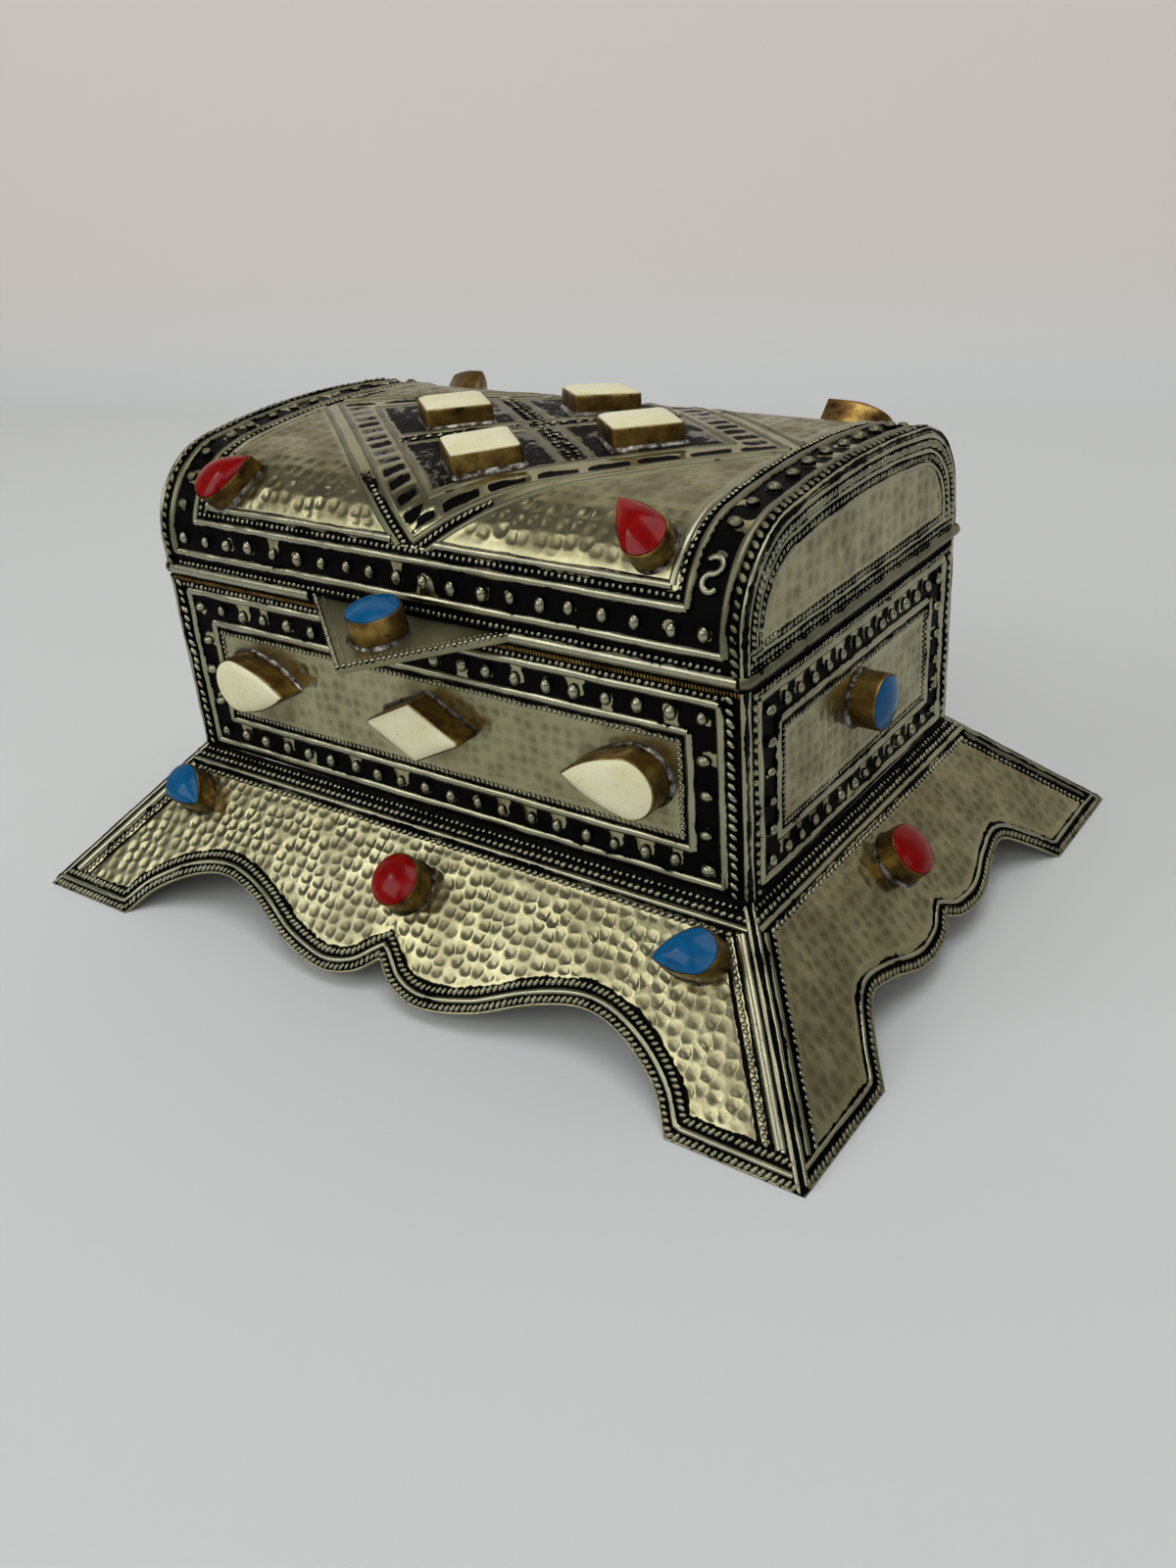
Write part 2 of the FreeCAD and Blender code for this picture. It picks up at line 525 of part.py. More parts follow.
def build_box():
    """The fixed lower part: boards, sheets, linings, skirt and their stones."""
    tacks = skirt_tacks()
    tack_group = Part.makeCompound(tacks)
    leaf_nail_z = HINGE_Z - (LEAF_REACH + LEAF_NOTCH) / 2
    nails = [nail(x, leaf_nail_z) for x in NAIL_POSITIONS]
    nail_group = Part.makeCompound(nails)

    floor, front, right = boards()
    export("floor_board", floor.cut(tack_group))
    export("front_board", front)
    export("back_board", half_turned(front).cut(nail_group))
    export("right_board", right)
    export("left_board", half_turned(right))

    front, right = panels()
    export("front_panel", front)
    export("back_panel", half_turned(front).cut(nail_group))
    export("right_panel", right)
    export("left_panel", half_turned(right))

    floor, front, right = linings()
    export("floor_lining", floor)
    export("front_lining", front)
    export("back_lining", half_turned(front))
    export("right_lining", right)
    export("left_lining", half_turned(right))

    front = skirt(FRONT_SKIRT, RIGHT_SKIRT, HALF_LENGTH, HALF_FOOT_LENGTH, FRONT_SCALLOP, tacks)
    right = skirt(RIGHT_SKIRT, FRONT_SKIRT, HALF_DEPTH, HALF_FOOT_DEPTH, END_SCALLOP, tacks)
    export("front_skirt", front)
    export("back_skirt", half_turned(front))
    export("right_skirt", right)
    export("left_skirt", half_turned(right))
    export("skirt_tacks", *tacks)

    export("hinge_body_leaf", hinge_leaf(-1, 0, PIN_RADIUS, LEAF_REACH).cut(nail_group))
    export("hinge_pin", hinge_pin())
    export("hinge_body_nails", *nails)

    lozenge, drops = front_settings()
    for side, move in (("front", lambda shape: shape), ("back", half_turned)):
        export(side + "_bone_lozenge", move(lozenge[0]))
        export(side + "_bone_drops", *[move(stone) for stone, bezel in drops])
        export(side + "_bone_bezels", *[move(bezel) for stone, bezel in [lozenge] + drops])

    end_frame = local_frame(FreeCAD.Vector(HALF_LENGTH, 0, END_STONE_Z), ALONG_Y, ALONG_X)
    stone, bezel = setting(round_outline(ROUND_RADIUS), end_frame)
    skirt_frame = RIGHT_SKIRT.placement(END_SKIRT_RED_ALONG, SKIRT_RED_UP_SLOPE)
    skirt_stone, skirt_bezel = setting(round_outline(ROUND_RADIUS), skirt_frame, rim=END_SKIRT_BEZEL_HEIGHT)
    for side, move in (("right", lambda shape: shape), ("left", half_turned)):
        export(side + "_blue_stone", move(stone))
        export(side + "_blue_bezel", move(bezel))
        export(side + "_skirt_red_stone", move(skirt_stone))
        export(side + "_skirt_red_bezel", move(skirt_bezel))

    for side, move, drop_centre in (("front", lambda shape: shape, BLUE_DROP_CENTRE),
                                    ("back", half_turned, BACK_BLUE_DROP_CENTRE)):
        red, drops = front_skirt_settings(drop_centre)
        export(side + "_skirt_red_stone", move(red[0]))
        export(side + "_skirt_blue_drops", *[move(stone) for stone, bezel in drops])
        export(side + "_skirt_bezels", *[move(bezel) for stone, bezel in [red] + drops])


def build_lid():
    """The hinged upper part: vaulted sheet, boards, lining, rim wire, thumb tab and stones."""
    leaf_nail_z = HINGE_Z + (LID_LEAF_REACH + LEAF_NOTCH) / 2
    nails = [nail(x, leaf_nail_z) for x in NAIL_POSITIONS]
    nail_group = Part.makeCompound(nails)

    whole = vault_solid(0, (-HALF_LENGTH, HALF_LENGTH))
    vault = whole.cut(vault_solid(SHEET, (-HALF_LENGTH, HALF_LENGTH)))
    export("lid_vault", vault.cut(nail_group))
    right_panel = vault_solid(SHEET, (BOARD_LENGTH, HALF_LENGTH))
    export("lid_right_panel", right_panel)
    export("lid_left_panel", half_turned(right_panel))

    right_board = vault_solid(SHEET, (INSIDE_LENGTH, BOARD_LENGTH))
    export("lid_right_board", right_board)
    export("lid_left_board", half_turned(right_board))
    inside_x = (-INSIDE_LENGTH, INSIDE_LENGTH)
    rail = box(inside_x, (-BOARD_DEPTH, -INSIDE_DEPTH), (LID_BOTTOM, SHOULDER_Z))
    export("lid_front_rail", rail)
    export("lid_back_rail", half_turned(rail).cut(nail_group))
    above_rails = box(inside_x, (-HALF_DEPTH, HALF_DEPTH), (SHOULDER_Z, 2 * SHOULDER_Z))
    lining = vault_solid(SHEET, inside_x).cut(vault_solid(SHEET + LINING, inside_x)).common(above_rails)
    export("lid_lining", lining.Solids[0])

    export("lid_rim_wire", *rim_wire().Solids)
    export("lift_tab", lift_tab())
    tab_stone, tab_bezel = setting(round_outline(ROUND_RADIUS), tab_placement(TAB_STONE_FROM_LID))
    export("tab_blue_stone", tab_stone)
    export("tab_bezel", tab_bezel)
    export("hinge_lid_leaf", hinge_leaf(1, 1, PIN_RADIUS + PIN_CLEARANCE, LID_LEAF_REACH).cut(nail_group))
    export("hinge_lid_nails", *nails)

    drops = lid_drop_settings(whole, FRONT_RED_DROPS)
    drops += [[half_turned(shape) for shape in drop] for drop in lid_drop_settings(whole, BACK_RED_DROPS)]
    export("lid_red_drops", *[stone for stone, bezel in drops])
    export("lid_drop_bezels", *[bezel for stone, bezel in drops])
    tablets = lid_tablet_settings(whole)
    export("lid_bone_tablets", *[stone for stone, bezel in tablets])
    export("lid_tablet_bezels", *[bezel for stone, bezel in tablets])


os.makedirs("parts", exist_ok=True)
build_box()
build_lid()
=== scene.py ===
import math

import bmesh
import bpy
import numpy as np
from mathutils import Matrix, Vector, kdtree


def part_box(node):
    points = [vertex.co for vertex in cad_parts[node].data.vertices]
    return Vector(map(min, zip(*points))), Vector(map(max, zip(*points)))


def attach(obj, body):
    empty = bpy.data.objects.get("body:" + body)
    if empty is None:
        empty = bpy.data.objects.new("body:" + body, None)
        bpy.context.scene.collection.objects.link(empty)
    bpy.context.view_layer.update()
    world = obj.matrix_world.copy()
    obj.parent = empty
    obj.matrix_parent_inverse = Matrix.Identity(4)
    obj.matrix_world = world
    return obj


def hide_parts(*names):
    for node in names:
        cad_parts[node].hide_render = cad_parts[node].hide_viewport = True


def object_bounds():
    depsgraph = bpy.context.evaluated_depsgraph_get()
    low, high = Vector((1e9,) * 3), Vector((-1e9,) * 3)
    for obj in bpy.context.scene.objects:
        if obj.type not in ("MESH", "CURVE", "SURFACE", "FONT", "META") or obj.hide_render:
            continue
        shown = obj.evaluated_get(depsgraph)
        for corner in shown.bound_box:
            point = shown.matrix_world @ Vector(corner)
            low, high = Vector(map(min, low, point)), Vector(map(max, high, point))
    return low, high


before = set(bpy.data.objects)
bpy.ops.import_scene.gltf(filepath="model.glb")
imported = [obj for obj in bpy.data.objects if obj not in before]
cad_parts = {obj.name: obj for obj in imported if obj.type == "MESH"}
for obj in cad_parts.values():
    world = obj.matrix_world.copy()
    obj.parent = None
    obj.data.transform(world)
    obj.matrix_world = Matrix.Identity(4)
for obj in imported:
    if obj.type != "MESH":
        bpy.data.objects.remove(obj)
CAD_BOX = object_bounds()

# Vaulted jewellery casket: embossed nickel-silver sheets with blackened grounds over a wooden box.
# Metres. X runs along the box, -Y is the front, +Z is up.
# Each sheet is drawn flat first (u along it, v up it), and the drawing is then laid on the casket.

MM = 0.001

# Sizes read from the frame
PANEL_LOW, PANEL_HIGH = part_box("front_panel")
SKIRT_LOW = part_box("front_skirt")[0]
VAULT_LOW, VAULT_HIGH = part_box("lid_vault")
HALF_LENGTH = PANEL_HIGH.x
HALF_DEPTH = -PANEL_LOW.y
SHEET = PANEL_HIGH.y - PANEL_LOW.y
BODY_BOTTOM = PANEL_LOW.z
BODY_TOP = PANEL_HIGH.z
HALF_FOOT_LENGTH = -SKIRT_LOW.x
HALF_FOOT_DEPTH = -SKIRT_LOW.y
LID_BOTTOM = VAULT_LOW.z
LID_TOP = VAULT_HIGH.z

# Vault profile: straight side, rounded shoulder, flat crown arc
LID_SIDE = 6.6 * MM
SHOULDER_RADIUS = 16.9 * MM
SHOULDER_Y = HALF_DEPTH - SHOULDER_RADIUS
SHOULDER_Z = LID_BOTTOM + LID_SIDE
CROWN_OVER_SHOULDER = LID_TOP - SHOULDER_Z
CROWN_RADIUS = ((SHOULDER_Y ** 2 + CROWN_OVER_SHOULDER ** 2 - SHOULDER_RADIUS ** 2)
                / (2 * (CROWN_OVER_SHOULDER - SHOULDER_RADIUS)))
CROWN_Z = LID_TOP - CROWN_RADIUS

# Lower outline of one half of a skirt, in millimetres: (distance from the middle, way up the slope)
FRONT_SCALLOP = [(65.5, 0.0), (60.5, 6.8), (52.0, 12.4), (43.5, 14.4), (34.0, 12.0),
                 (23.0, 6.8), (12.5, 4.4), (5.0, 6.0), (0.0, 10.0)]
END_SCALLOP = [(41.0, 0.0), (35.0, 6.6), (29.0, 11.4), (22.0, 10.4), (15.0, 7.9),
               (10.0, 7.2), (4.0, 8.0), (0.0, 10.2)]

# Thumb tab
TAB_HALF_WIDTH = 22.9 * MM
TAB_LENGTH = 18.5 * MM
TAB_THICKNESS = 1.3 * MM
TAB_DROOP = math.radians(10)
TAB_CENTRE_X = -2.2 * MM
TAB_STONE_FROM_LID = 7.0 * MM
TAB_TOP = LID_BOTTOM + TAB_THICKNESS

# Stones and their settings
BEZEL_WALL = 0.6 * MM
BEZEL_RIM = 5.1 * MM
TABLET_BEZEL_RIM = 3.5 * MM
BEZEL_FOOT = 0.4 * MM
STONE_DOME = 1.3 * MM
STONE_SPREAD = 0.28 * MM
STONE_DEPTH = 1.0 * MM
# Heights over the bezel's rim: where a stone's side ends, and where its dome starts
STONE_GIRDLE = (-0.05 * MM, 0.12 * MM)
ROUND_RADIUS = 4.5 * MM
# Half angle of a drop's round head, and swell of its sides in widths
DROP_HEAD = math.radians(110)
DROP_SWELL = (-0.035, 0.06)
BONE_DROP = (17.0 * MM, 10.0 * MM)
BONE_DROP_X = 42.0 * MM
BONE_LOZENGE = (10.2 * MM, 5.2 * MM)
FRONT_STONE_Z = 45.2 * MM
END_STONE_Z = 47.0 * MM
BLUE_DROP = (10.6 * MM, 7.0 * MM)
BLUE_DROP_PLACES = {"front": (59.8 * MM, 28.0 * MM), "back": (48.0 * MM, 28.0 * MM)}
BLUE_DROP_TURN = 24.0
SKIRT_RED_UP_SLOPE = 24.0 * MM
END_SKIRT_RED_ALONG = -1.4 * MM
END_SKIRT_BEZEL_RIM = 4.2 * MM
RED_DROP = (11.8 * MM, 7.0 * MM)
RED_DROP_TURN = 38.0
# Each red drop: place along the lid, angle on its shoulder, height of its bezel
FRONT_RED_DROPS = ((44.8 * MM, math.radians(49.6), 3.7 * MM), (-46.5 * MM, math.radians(44.7), 3.7 * MM))
BACK_RED_DROPS = ((48.5 * MM, math.radians(42), BEZEL_RIM), (-46.0 * MM, math.radians(42), BEZEL_RIM))
TABLET_SIDES = (11.5 * MM, 10.0 * MM)
TABLET_SLANT = math.radians(40)
TABLETS_CENTRE = (3.0 * MM, -2.7 * MM)
TABLET_X = 21.0 * MM
TABLET_Y = 18.1 * MM

# Depth to which raised work goes into the sheet
BURIED = 0.85 * SHEET

# Spacing of the points that hold the hammered relief
RELIEF_STEP = 0.42 * MM
FINE_RELIEF_STEP = 0.34 * MM

# Hammer marks: lengths in spacings of the marks, curve of the hollow, strength of the blows
MARK_SHIFT = 7.3
MARK_SCATTER = 0.5
MARK_REACH = 0.54
MARK_CURVE = 1.6
MARK_RIM = 0.12
WEAKEST_BLOW = 0.7
BLOW_RANGE = 0.6

# Hand-worked waver of a sheet, scales of the waves in sheets and ridges, sides of a ridge's section
SHEET_WAVER = 0.22 * MM
SHEET_WAVES = 70.0
RIDGE_WAVES = 160.0
RIDGE_SIDES = 8

# Play of the grains for an unevenness of 1: along and across the row in pitches, in turn and in size
PLAY_ALONG = 0.4
PLAY_ACROSS = 0.25
PLAY_IN_TURN = 0.8
PLAY_IN_SIZE = 0.7

# How fast the black at the foot of raised work fades towards its crest
GRAIN_BLACK_FADE = 3.4
RIDGE_BLACK_FADE = 1.5

# First seed of each kind of piece
PANEL_SEED = 11
SKIRT_SEED = 21
VAULT_SEED = 31
LID_END_SEED = 41
TAB_SEED = 57
WIRE_SEED = 71
BONE_SEED = 100
SKIRT_STONE_SEED = 120
END_BLUE_SEED = 140
END_RED_SEED = 160
RED_DROP_SEED = 180
TABLET_SEED = 190
TAB_STONE_SEED = 199


# Node helpers

def fill(tree, made, inputs):
    """Fill sockets of a node with values or links."""
    for key, value in inputs.items():
        if isinstance(value, bpy.types.NodeSocket):
            tree.links.new(value, made.inputs[key])
        else:
            made.inputs[key].default_value = value


def node(tree, kind, inputs=None, **properties):
    """Add a node, set its properties and fill its sockets."""
    made = tree.nodes.new(kind)
    for name, value in properties.items():
        setattr(made, name, value)
    fill(tree, made, inputs or {})
    return made


def flow(tree, kind, inputs=None, **properties):
    """First output of a new node."""
    return node(tree, kind, inputs, **properties).outputs[0]


def calc(tree, operation, *values, clamp=False):
    """Result of a Math node."""
    return flow(tree, "ShaderNodeMath", dict(enumerate(values)), operation=operation, use_clamp=clamp)


def plus(tree, first, second, clamp=False):
    """Sum of two numbers."""
    return calc(tree, "ADD", first, second, clamp=clamp)


def minus(tree, first, second, clamp=False):
    """Difference of two numbers."""
    return calc(tree, "SUBTRACT", first, second, clamp=clamp)


def times(tree, first, second):
    """Product of two numbers."""
    return calc(tree, "MULTIPLY", first, second)


def vector_calc(tree, operation, *values):
    """Result of a Vector Math node, a vector or a number as the operation gives."""
    made = node(tree, "ShaderNodeVectorMath", dict(enumerate(values)), operation=operation)
    return made.outputs["Value"] if operation in ("DOT_PRODUCT", "LENGTH") else made.outputs["Vector"]


def scaled(tree, vector, factor):
    """A vector times a number."""
    return flow(tree, "ShaderNodeVectorMath", {0: vector, "Scale": factor}, operation="SCALE")


def new_tree(name, sizes):
    """Empty geometry tree with named inputs, and the sockets that give their values."""
    tree = bpy.data.node_groups.new(name, "GeometryNodeTree")
    tree.interface.new_socket("Geometry", in_out="INPUT", socket_type="NodeSocketGeometry")
    for label, kind in sizes.items():
        tree.interface.new_socket(label, in_out="INPUT", socket_type="NodeSocket" + kind)
    tree.interface.new_socket("Geometry", in_out="OUTPUT", socket_type="NodeSocketGeometry")
    return tree, tree.nodes.new("NodeGroupInput").outputs


def stored(tree, geometry, name, value):
    """Geometry with a number kept on each of its points."""
    return flow(tree, "GeometryNodeStoreNamedAttribute", {"Geometry": geometry, "Name": name, "Value": value},
                data_type="FLOAT", domain="POINT")


def kept(tree, name, data_type="FLOAT"):
    """Value kept on the points under a name."""
    return flow(tree, "GeometryNodeInputNamedAttribute", {"Name": name}, data_type=data_type)


def random_number(tree, reach, seed):
    """Random number for each point, to both sides of zero."""
    made = node(tree, "FunctionNodeRandomValue", {2: -reach, 3: reach, 8: seed}, data_type="FLOAT")
    return made.outputs[1]


def finished(tree, geometry, finish):
    """End of every tree: real, smooth faces with their finish."""
    real = flow(tree, "GeometryNodeRealizeInstances", {"Geometry": geometry})
    smooth = flow(tree, "GeometryNodeSetShadeSmooth", {"Geometry": real})
    painted = flow(tree, "GeometryNodeSetMaterial", {"Geometry": smooth, "Material": finish})
    node(tree, "NodeGroupOutput", {"Geometry": painted})


# Geometry trees of the silversmith's work

def grain_row_tree():
    """Row of raised grains along a line: beads, ropes of slanted grains, dots and serrations."""
    tree, given = new_tree("grain_row", {
        "Pitch": "Float", "Length": "Float", "Width": "Float", "Height": "Float", "Slant": "Float",
        "Unevenness": "Float", "Blackness": "Float", "Segments": "Int", "Rings": "Int", "Seed": "Int",
        "Finish": "Material"})
    line = flow(tree, "GeometryNodeMeshToCurve", {"Mesh": given["Geometry"]})
    fitted = times(tree, given["Pitch"], kept(tree, "fit"))
    marks = flow(tree, "GeometryNodeResampleCurve", {"Curve": line, "Length": fitted}, mode="LENGTH")
    outward = kept(tree, "outward", "FLOAT_VECTOR")
    tangent = flow(tree, "GeometryNodeInputTangent")
    across = vector_calc(tree, "CROSS_PRODUCT", outward, tangent)
    play = times(tree, given["Pitch"], given["Unevenness"])
    along_shift = times(tree, play, random_number(tree, PLAY_ALONG, given["Seed"]))
    across_seed = plus(tree, given["Seed"], 1.0)
    across_shift = times(tree, play, random_number(tree, PLAY_ACROSS, across_seed))
    shift = vector_calc(tree, "ADD", scaled(tree, tangent, along_shift), scaled(tree, across, across_shift))
    struck = flow(tree, "GeometryNodeSetPosition", {"Geometry": marks, "Offset": shift})

    upright = flow(tree, "FunctionNodeAxesToRotation", {"Primary Axis": outward, "Secondary Axis": tangent},
                   primary_axis="Z", secondary_axis="X")
    turn_seed = plus(tree, given["Seed"], 2.0)
    wobble = times(tree, given["Unevenness"], random_number(tree, PLAY_IN_TURN, turn_seed))
    turn = flow(tree, "FunctionNodeAxisAngleToRotation",
                {"Axis": (0, 0, 1), "Angle": plus(tree, given["Slant"], wobble)})
    rotation = flow(tree, "FunctionNodeRotateRotation", {"Rotation": upright, "Rotate By": turn},
                    rotation_space="LOCAL")

    ball = flow(tree, "GeometryNodeMeshUVSphere",
                {"Segments": given["Segments"], "Rings": given["Rings"], "Radius": 0.5})
    position = flow(tree, "GeometryNodeInputPosition")
    height = node(tree, "ShaderNodeSeparateXYZ", {0: position}).outputs["Z"]
    foot = plus(tree, 1.0, given["Blackness"])
    black_foot = minus(tree, foot, times(tree, height, GRAIN_BLACK_FADE), clamp=True)
    lowest = calc(tree, "DIVIDE", -BURIED / 2, given["Height"])
    lift = calc(tree, "MAXIMUM", minus(tree, lowest, height), 0.0)
    rise = flow(tree, "ShaderNodeCombineXYZ", {"Z": lift})
    grain = flow(tree, "GeometryNodeSetPosition",
                 {"Geometry": stored(tree, ball, "blacking", black_foot), "Offset": rise})
    size_seed = plus(tree, given["Seed"], 3.0)
    spread = times(tree, given["Unevenness"], random_number(tree, PLAY_IN_SIZE, size_seed))
    full_height = times(tree, given["Height"], 2.0)
    size = flow(tree, "ShaderNodeCombineXYZ", {"X": given["Length"], "Y": given["Width"], "Z": full_height})
    grains = flow(tree, "GeometryNodeInstanceOnPoints", {
        "Points": struck, "Instance": grain, "Rotation": rotation,
        "Scale": scaled(tree, size, plus(tree, 1.0, spread))})
    finished(tree, grains, given["Finish"])
    return tree


def raised_ridge_tree():
    """Rounded ridge along a line, as a wire sunk in the sheet."""
    tree, given = new_tree("raised_ridge", {
        "Step": "Float", "Width": "Float", "Height": "Float", "Waver": "Float", "Unevenness": "Float",
        "Blackness": "Float", "Seed": "Int", "Finish": "Material"})
    line = flow(tree, "GeometryNodeMeshToCurve", {"Mesh": given["Geometry"]})
    fine = flow(tree, "GeometryNodeResampleCurve", {"Curve": line, "Length": given["Step"]}, mode="LENGTH")
    outward = kept(tree, "outward", "FLOAT_VECTOR")
    radius = calc(tree, "DIVIDE", given["Width"], 2.0)
    sunk = scaled(tree, outward, minus(tree, given["Height"], radius))
    position = flow(tree, "GeometryNodeInputPosition")
    noise = node(tree, "ShaderNodeTexNoise", {"Vector": position, "W": given["Seed"], "Scale": RIDGE_WAVES},
                 noise_dimensions="4D")
    shift = vector_calc(tree, "SUBTRACT", noise.outputs["Color"], (0.5, 0.5, 0.5))
    waver = scaled(tree, shift, given["Waver"])
    level = vector_calc(tree, "DOT_PRODUCT", position, outward)
    laid = flow(tree, "GeometryNodeSetPosition",
                {"Geometry": stored(tree, fine, "level", level),
                 "Offset": vector_calc(tree, "ADD", sunk, waver)})
    section = flow(tree, "GeometryNodeCurvePrimitiveCircle", {"Resolution": RIDGE_SIDES, "Radius": radius})
    thinning = times(tree, minus(tree, noise.outputs["Fac"], 0.5), given["Unevenness"])
    wire = flow(tree, "GeometryNodeCurveToMesh",
                {"Curve": laid, "Profile Curve": section, "Scale": plus(tree, 1.0, thinning),
                 "Fill Caps": True})
    facing = flow(tree, "GeometryNodeInputNormal")
    crest = vector_calc(tree, "DOT_PRODUCT", facing, outward)
    foot = plus(tree, 1.0, given["Blackness"])
    black_foot = minus(tree, foot, times(tree, crest, RIDGE_BLACK_FADE), clamp=True)
    depth = minus(tree, kept(tree, "level"), level)
    lift = calc(tree, "MAXIMUM", minus(tree, depth, BURIED), 0.0)
    seated = flow(tree, "GeometryNodeSetPosition",
                  {"Geometry": stored(tree, wire, "blacking", black_foot),
                   "Offset": scaled(tree, outward, lift)})
    finished(tree, seated, given["Finish"])
    return tree


def hammered_sheet_tree():
    """Sheet with round hammer marks in its fields, and a slight hand-worked waver all over."""
    tree, given = new_tree("hammered_sheet", {
        "Dimple": "Float", "Depth": "Float", "Waver": "Float", "Seed": "Int", "Finish": "Material"})
    drawing = kept(tree, "drawing", "FLOAT_VECTOR")
    outward = kept(tree, "outward", "FLOAT_VECTOR")
    field = kept(tree, "field")
    per_mark = scaled(tree, drawing, calc(tree, "DIVIDE", 1.0, given["Dimple"]))
    shift = times(tree, given["Seed"], MARK_SHIFT)
    start = flow(tree, "ShaderNodeCombineXYZ", {"X": shift})
    laid_out = {"Vector": vector_calc(tree, "ADD", per_mark, start), "Scale": 1.0,
                "Randomness": MARK_SCATTER}
    marks = node(tree, "ShaderNodeTexVoronoi", laid_out, voronoi_dimensions="2D", feature="F1")
    rims = node(tree, "ShaderNodeTexVoronoi", laid_out, voronoi_dimensions="2D", feature="DISTANCE_TO_EDGE")
    blow = node(tree, "ShaderNodeSeparateXYZ", {0: marks.outputs["Color"]}).outputs["X"]
    strength = plus(tree, times(tree, blow, BLOW_RANGE), WEAKEST_BLOW)
    depth = times(tree, times(tree, given["Depth"], strength), field)
    spread = calc(tree, "DIVIDE", marks.outputs["Distance"], MARK_REACH)
    curve = minus(tree, 1.0, times(tree, spread, spread), clamp=True)
    dish = calc(tree, "POWER", curve, MARK_CURVE)
    hollow = times(tree, dish, between(tree, rims.outputs["Distance"], 0.0, MARK_RIM))
    noise = node(tree, "ShaderNodeTexNoise", {"Vector": drawing, "W": given["Seed"], "Scale": SHEET_WAVES},
                 noise_dimensions="4D").outputs["Fac"]
    waver = times(tree, minus(tree, noise, 0.5), given["Waver"])
    move = minus(tree, waver, times(tree, hollow, depth))
    beaten = flow(tree, "GeometryNodeSetPosition",
                  {"Geometry": given["Geometry"], "Offset": scaled(tree, outward, move)})
    stained = stored(tree, beaten, "hollow", times(tree, hollow, field))
    finished(tree, stained, given["Finish"])
    return tree


def added(name, data):
    """New object of the scene."""
    obj = bpy.data.objects.new(name, data)
    bpy.context.scene.collection.objects.link(obj)
    return obj


def settle(work, mesh, finish):
    """Put worked faces into a mesh, turned outwards and with their finish."""
    bmesh.ops.recalc_face_normals(work, faces=work.faces[:])
    work.to_mesh(mesh)
    work.free()
    mesh.materials.append(finish)


def run_tree(name, mesh, tree, **sizes):
    """Object whose plain mesh is what a tree makes of a mesh."""
    obj = added(name, mesh)
    modifier = obj.modifiers.new(tree.name, "NODES")
    modifier.node_group = tree
    for socket in tree.interface.items_tree:
        if socket.in_out == "INPUT" and socket.name in sizes:
            modifier[socket.identifier] = sizes[socket.name]
    depsgraph = bpy.context.evaluated_depsgraph_get()
    result = bpy.data.meshes.new_from_object(obj.evaluated_get(depsgraph), preserve_all_data_layers=True,
                                             depsgraph=depsgraph)
    obj.modifiers.clear()
    obj.data = result
    bpy.data.meshes.remove(mesh)
    return obj


# Finishes

def new_finish(name):
    """Empty material: its tree, its shader and object coordinates."""
    finish = bpy.data.materials.new(name)
    finish.use_nodes = True
    tree = finish.node_tree
    shader = tree.nodes["Principled BSDF"]
    coordinates = node(tree, "ShaderNodeTexCoord").outputs["Object"]
    return finish, tree, shader, coordinates


def cloudy(tree, coordinates, scale, detail=3.0, roughness=0.55, distortion=0.0):
    """Soft noise of a given scale."""
    return node(tree, "ShaderNodeTexNoise", {
        "Vector": coordinates, "Scale": scale, "Detail": detail, "Roughness": roughness,
        "Distortion": distortion}).outputs["Fac"]


def ramped(tree, factor, *stops):
    """Colours along a factor. Each stop is (position, colour)."""
    made = node(tree, "ShaderNodeValToRGB", {"Fac": factor})
    elements = made.color_ramp.elements
    while len(elements) < len(stops):
        elements.new(0.5)
    for element, (position, colour) in zip(elements, stops):
        element.position = position
        element.color = (*colour, 1.0)
    return made.outputs["Color"]


def between(tree, factor, low, high, to_low=0.0, to_high=1.0):
    """A factor mapped smoothly from one range to another."""
    return node(tree, "ShaderNodeMapRange",
                {"Value": factor, "From Min": low, "From Max": high, "To Min": to_low, "To Max": to_high},
                interpolation_type="SMOOTHSTEP").outputs["Result"]


def mixed(tree, factor, first, second):
    """Colour between two others."""
    made = node(tree, "ShaderNodeMix", {"Factor": factor, 6: first, 7: second}, data_type="RGBA")
    return made.outputs[2]


def bumped(tree, shader, height, strength, distance):
    """Fine roughness of a surface, too small for the mesh."""
    bump = flow(tree, "ShaderNodeBump", {"Height": height, "Strength": strength, "Distance": distance})
    fill(tree, shader, {"Normal": bump})


def attribute(tree, name):
    """Value that the mesh keeps under a name."""
    return node(tree, "ShaderNodeAttribute", attribute_name=name).outputs["Fac"]


# Colours that lie on the nickel silver
# The brown serves both the staining in the hollows and the painted shadow round the stones
STAIN_AND_SHADE_BROWN = (0.15, 0.12, 0.06, 1.0)
SPECK_BROWN = (0.085, 0.065, 0.032, 1.0)
TARNISH_GREY = (0.022, 0.025, 0.019, 1.0)
GROUND_BLACK = (0.0015, 0.0015, 0.0014, 1.0)


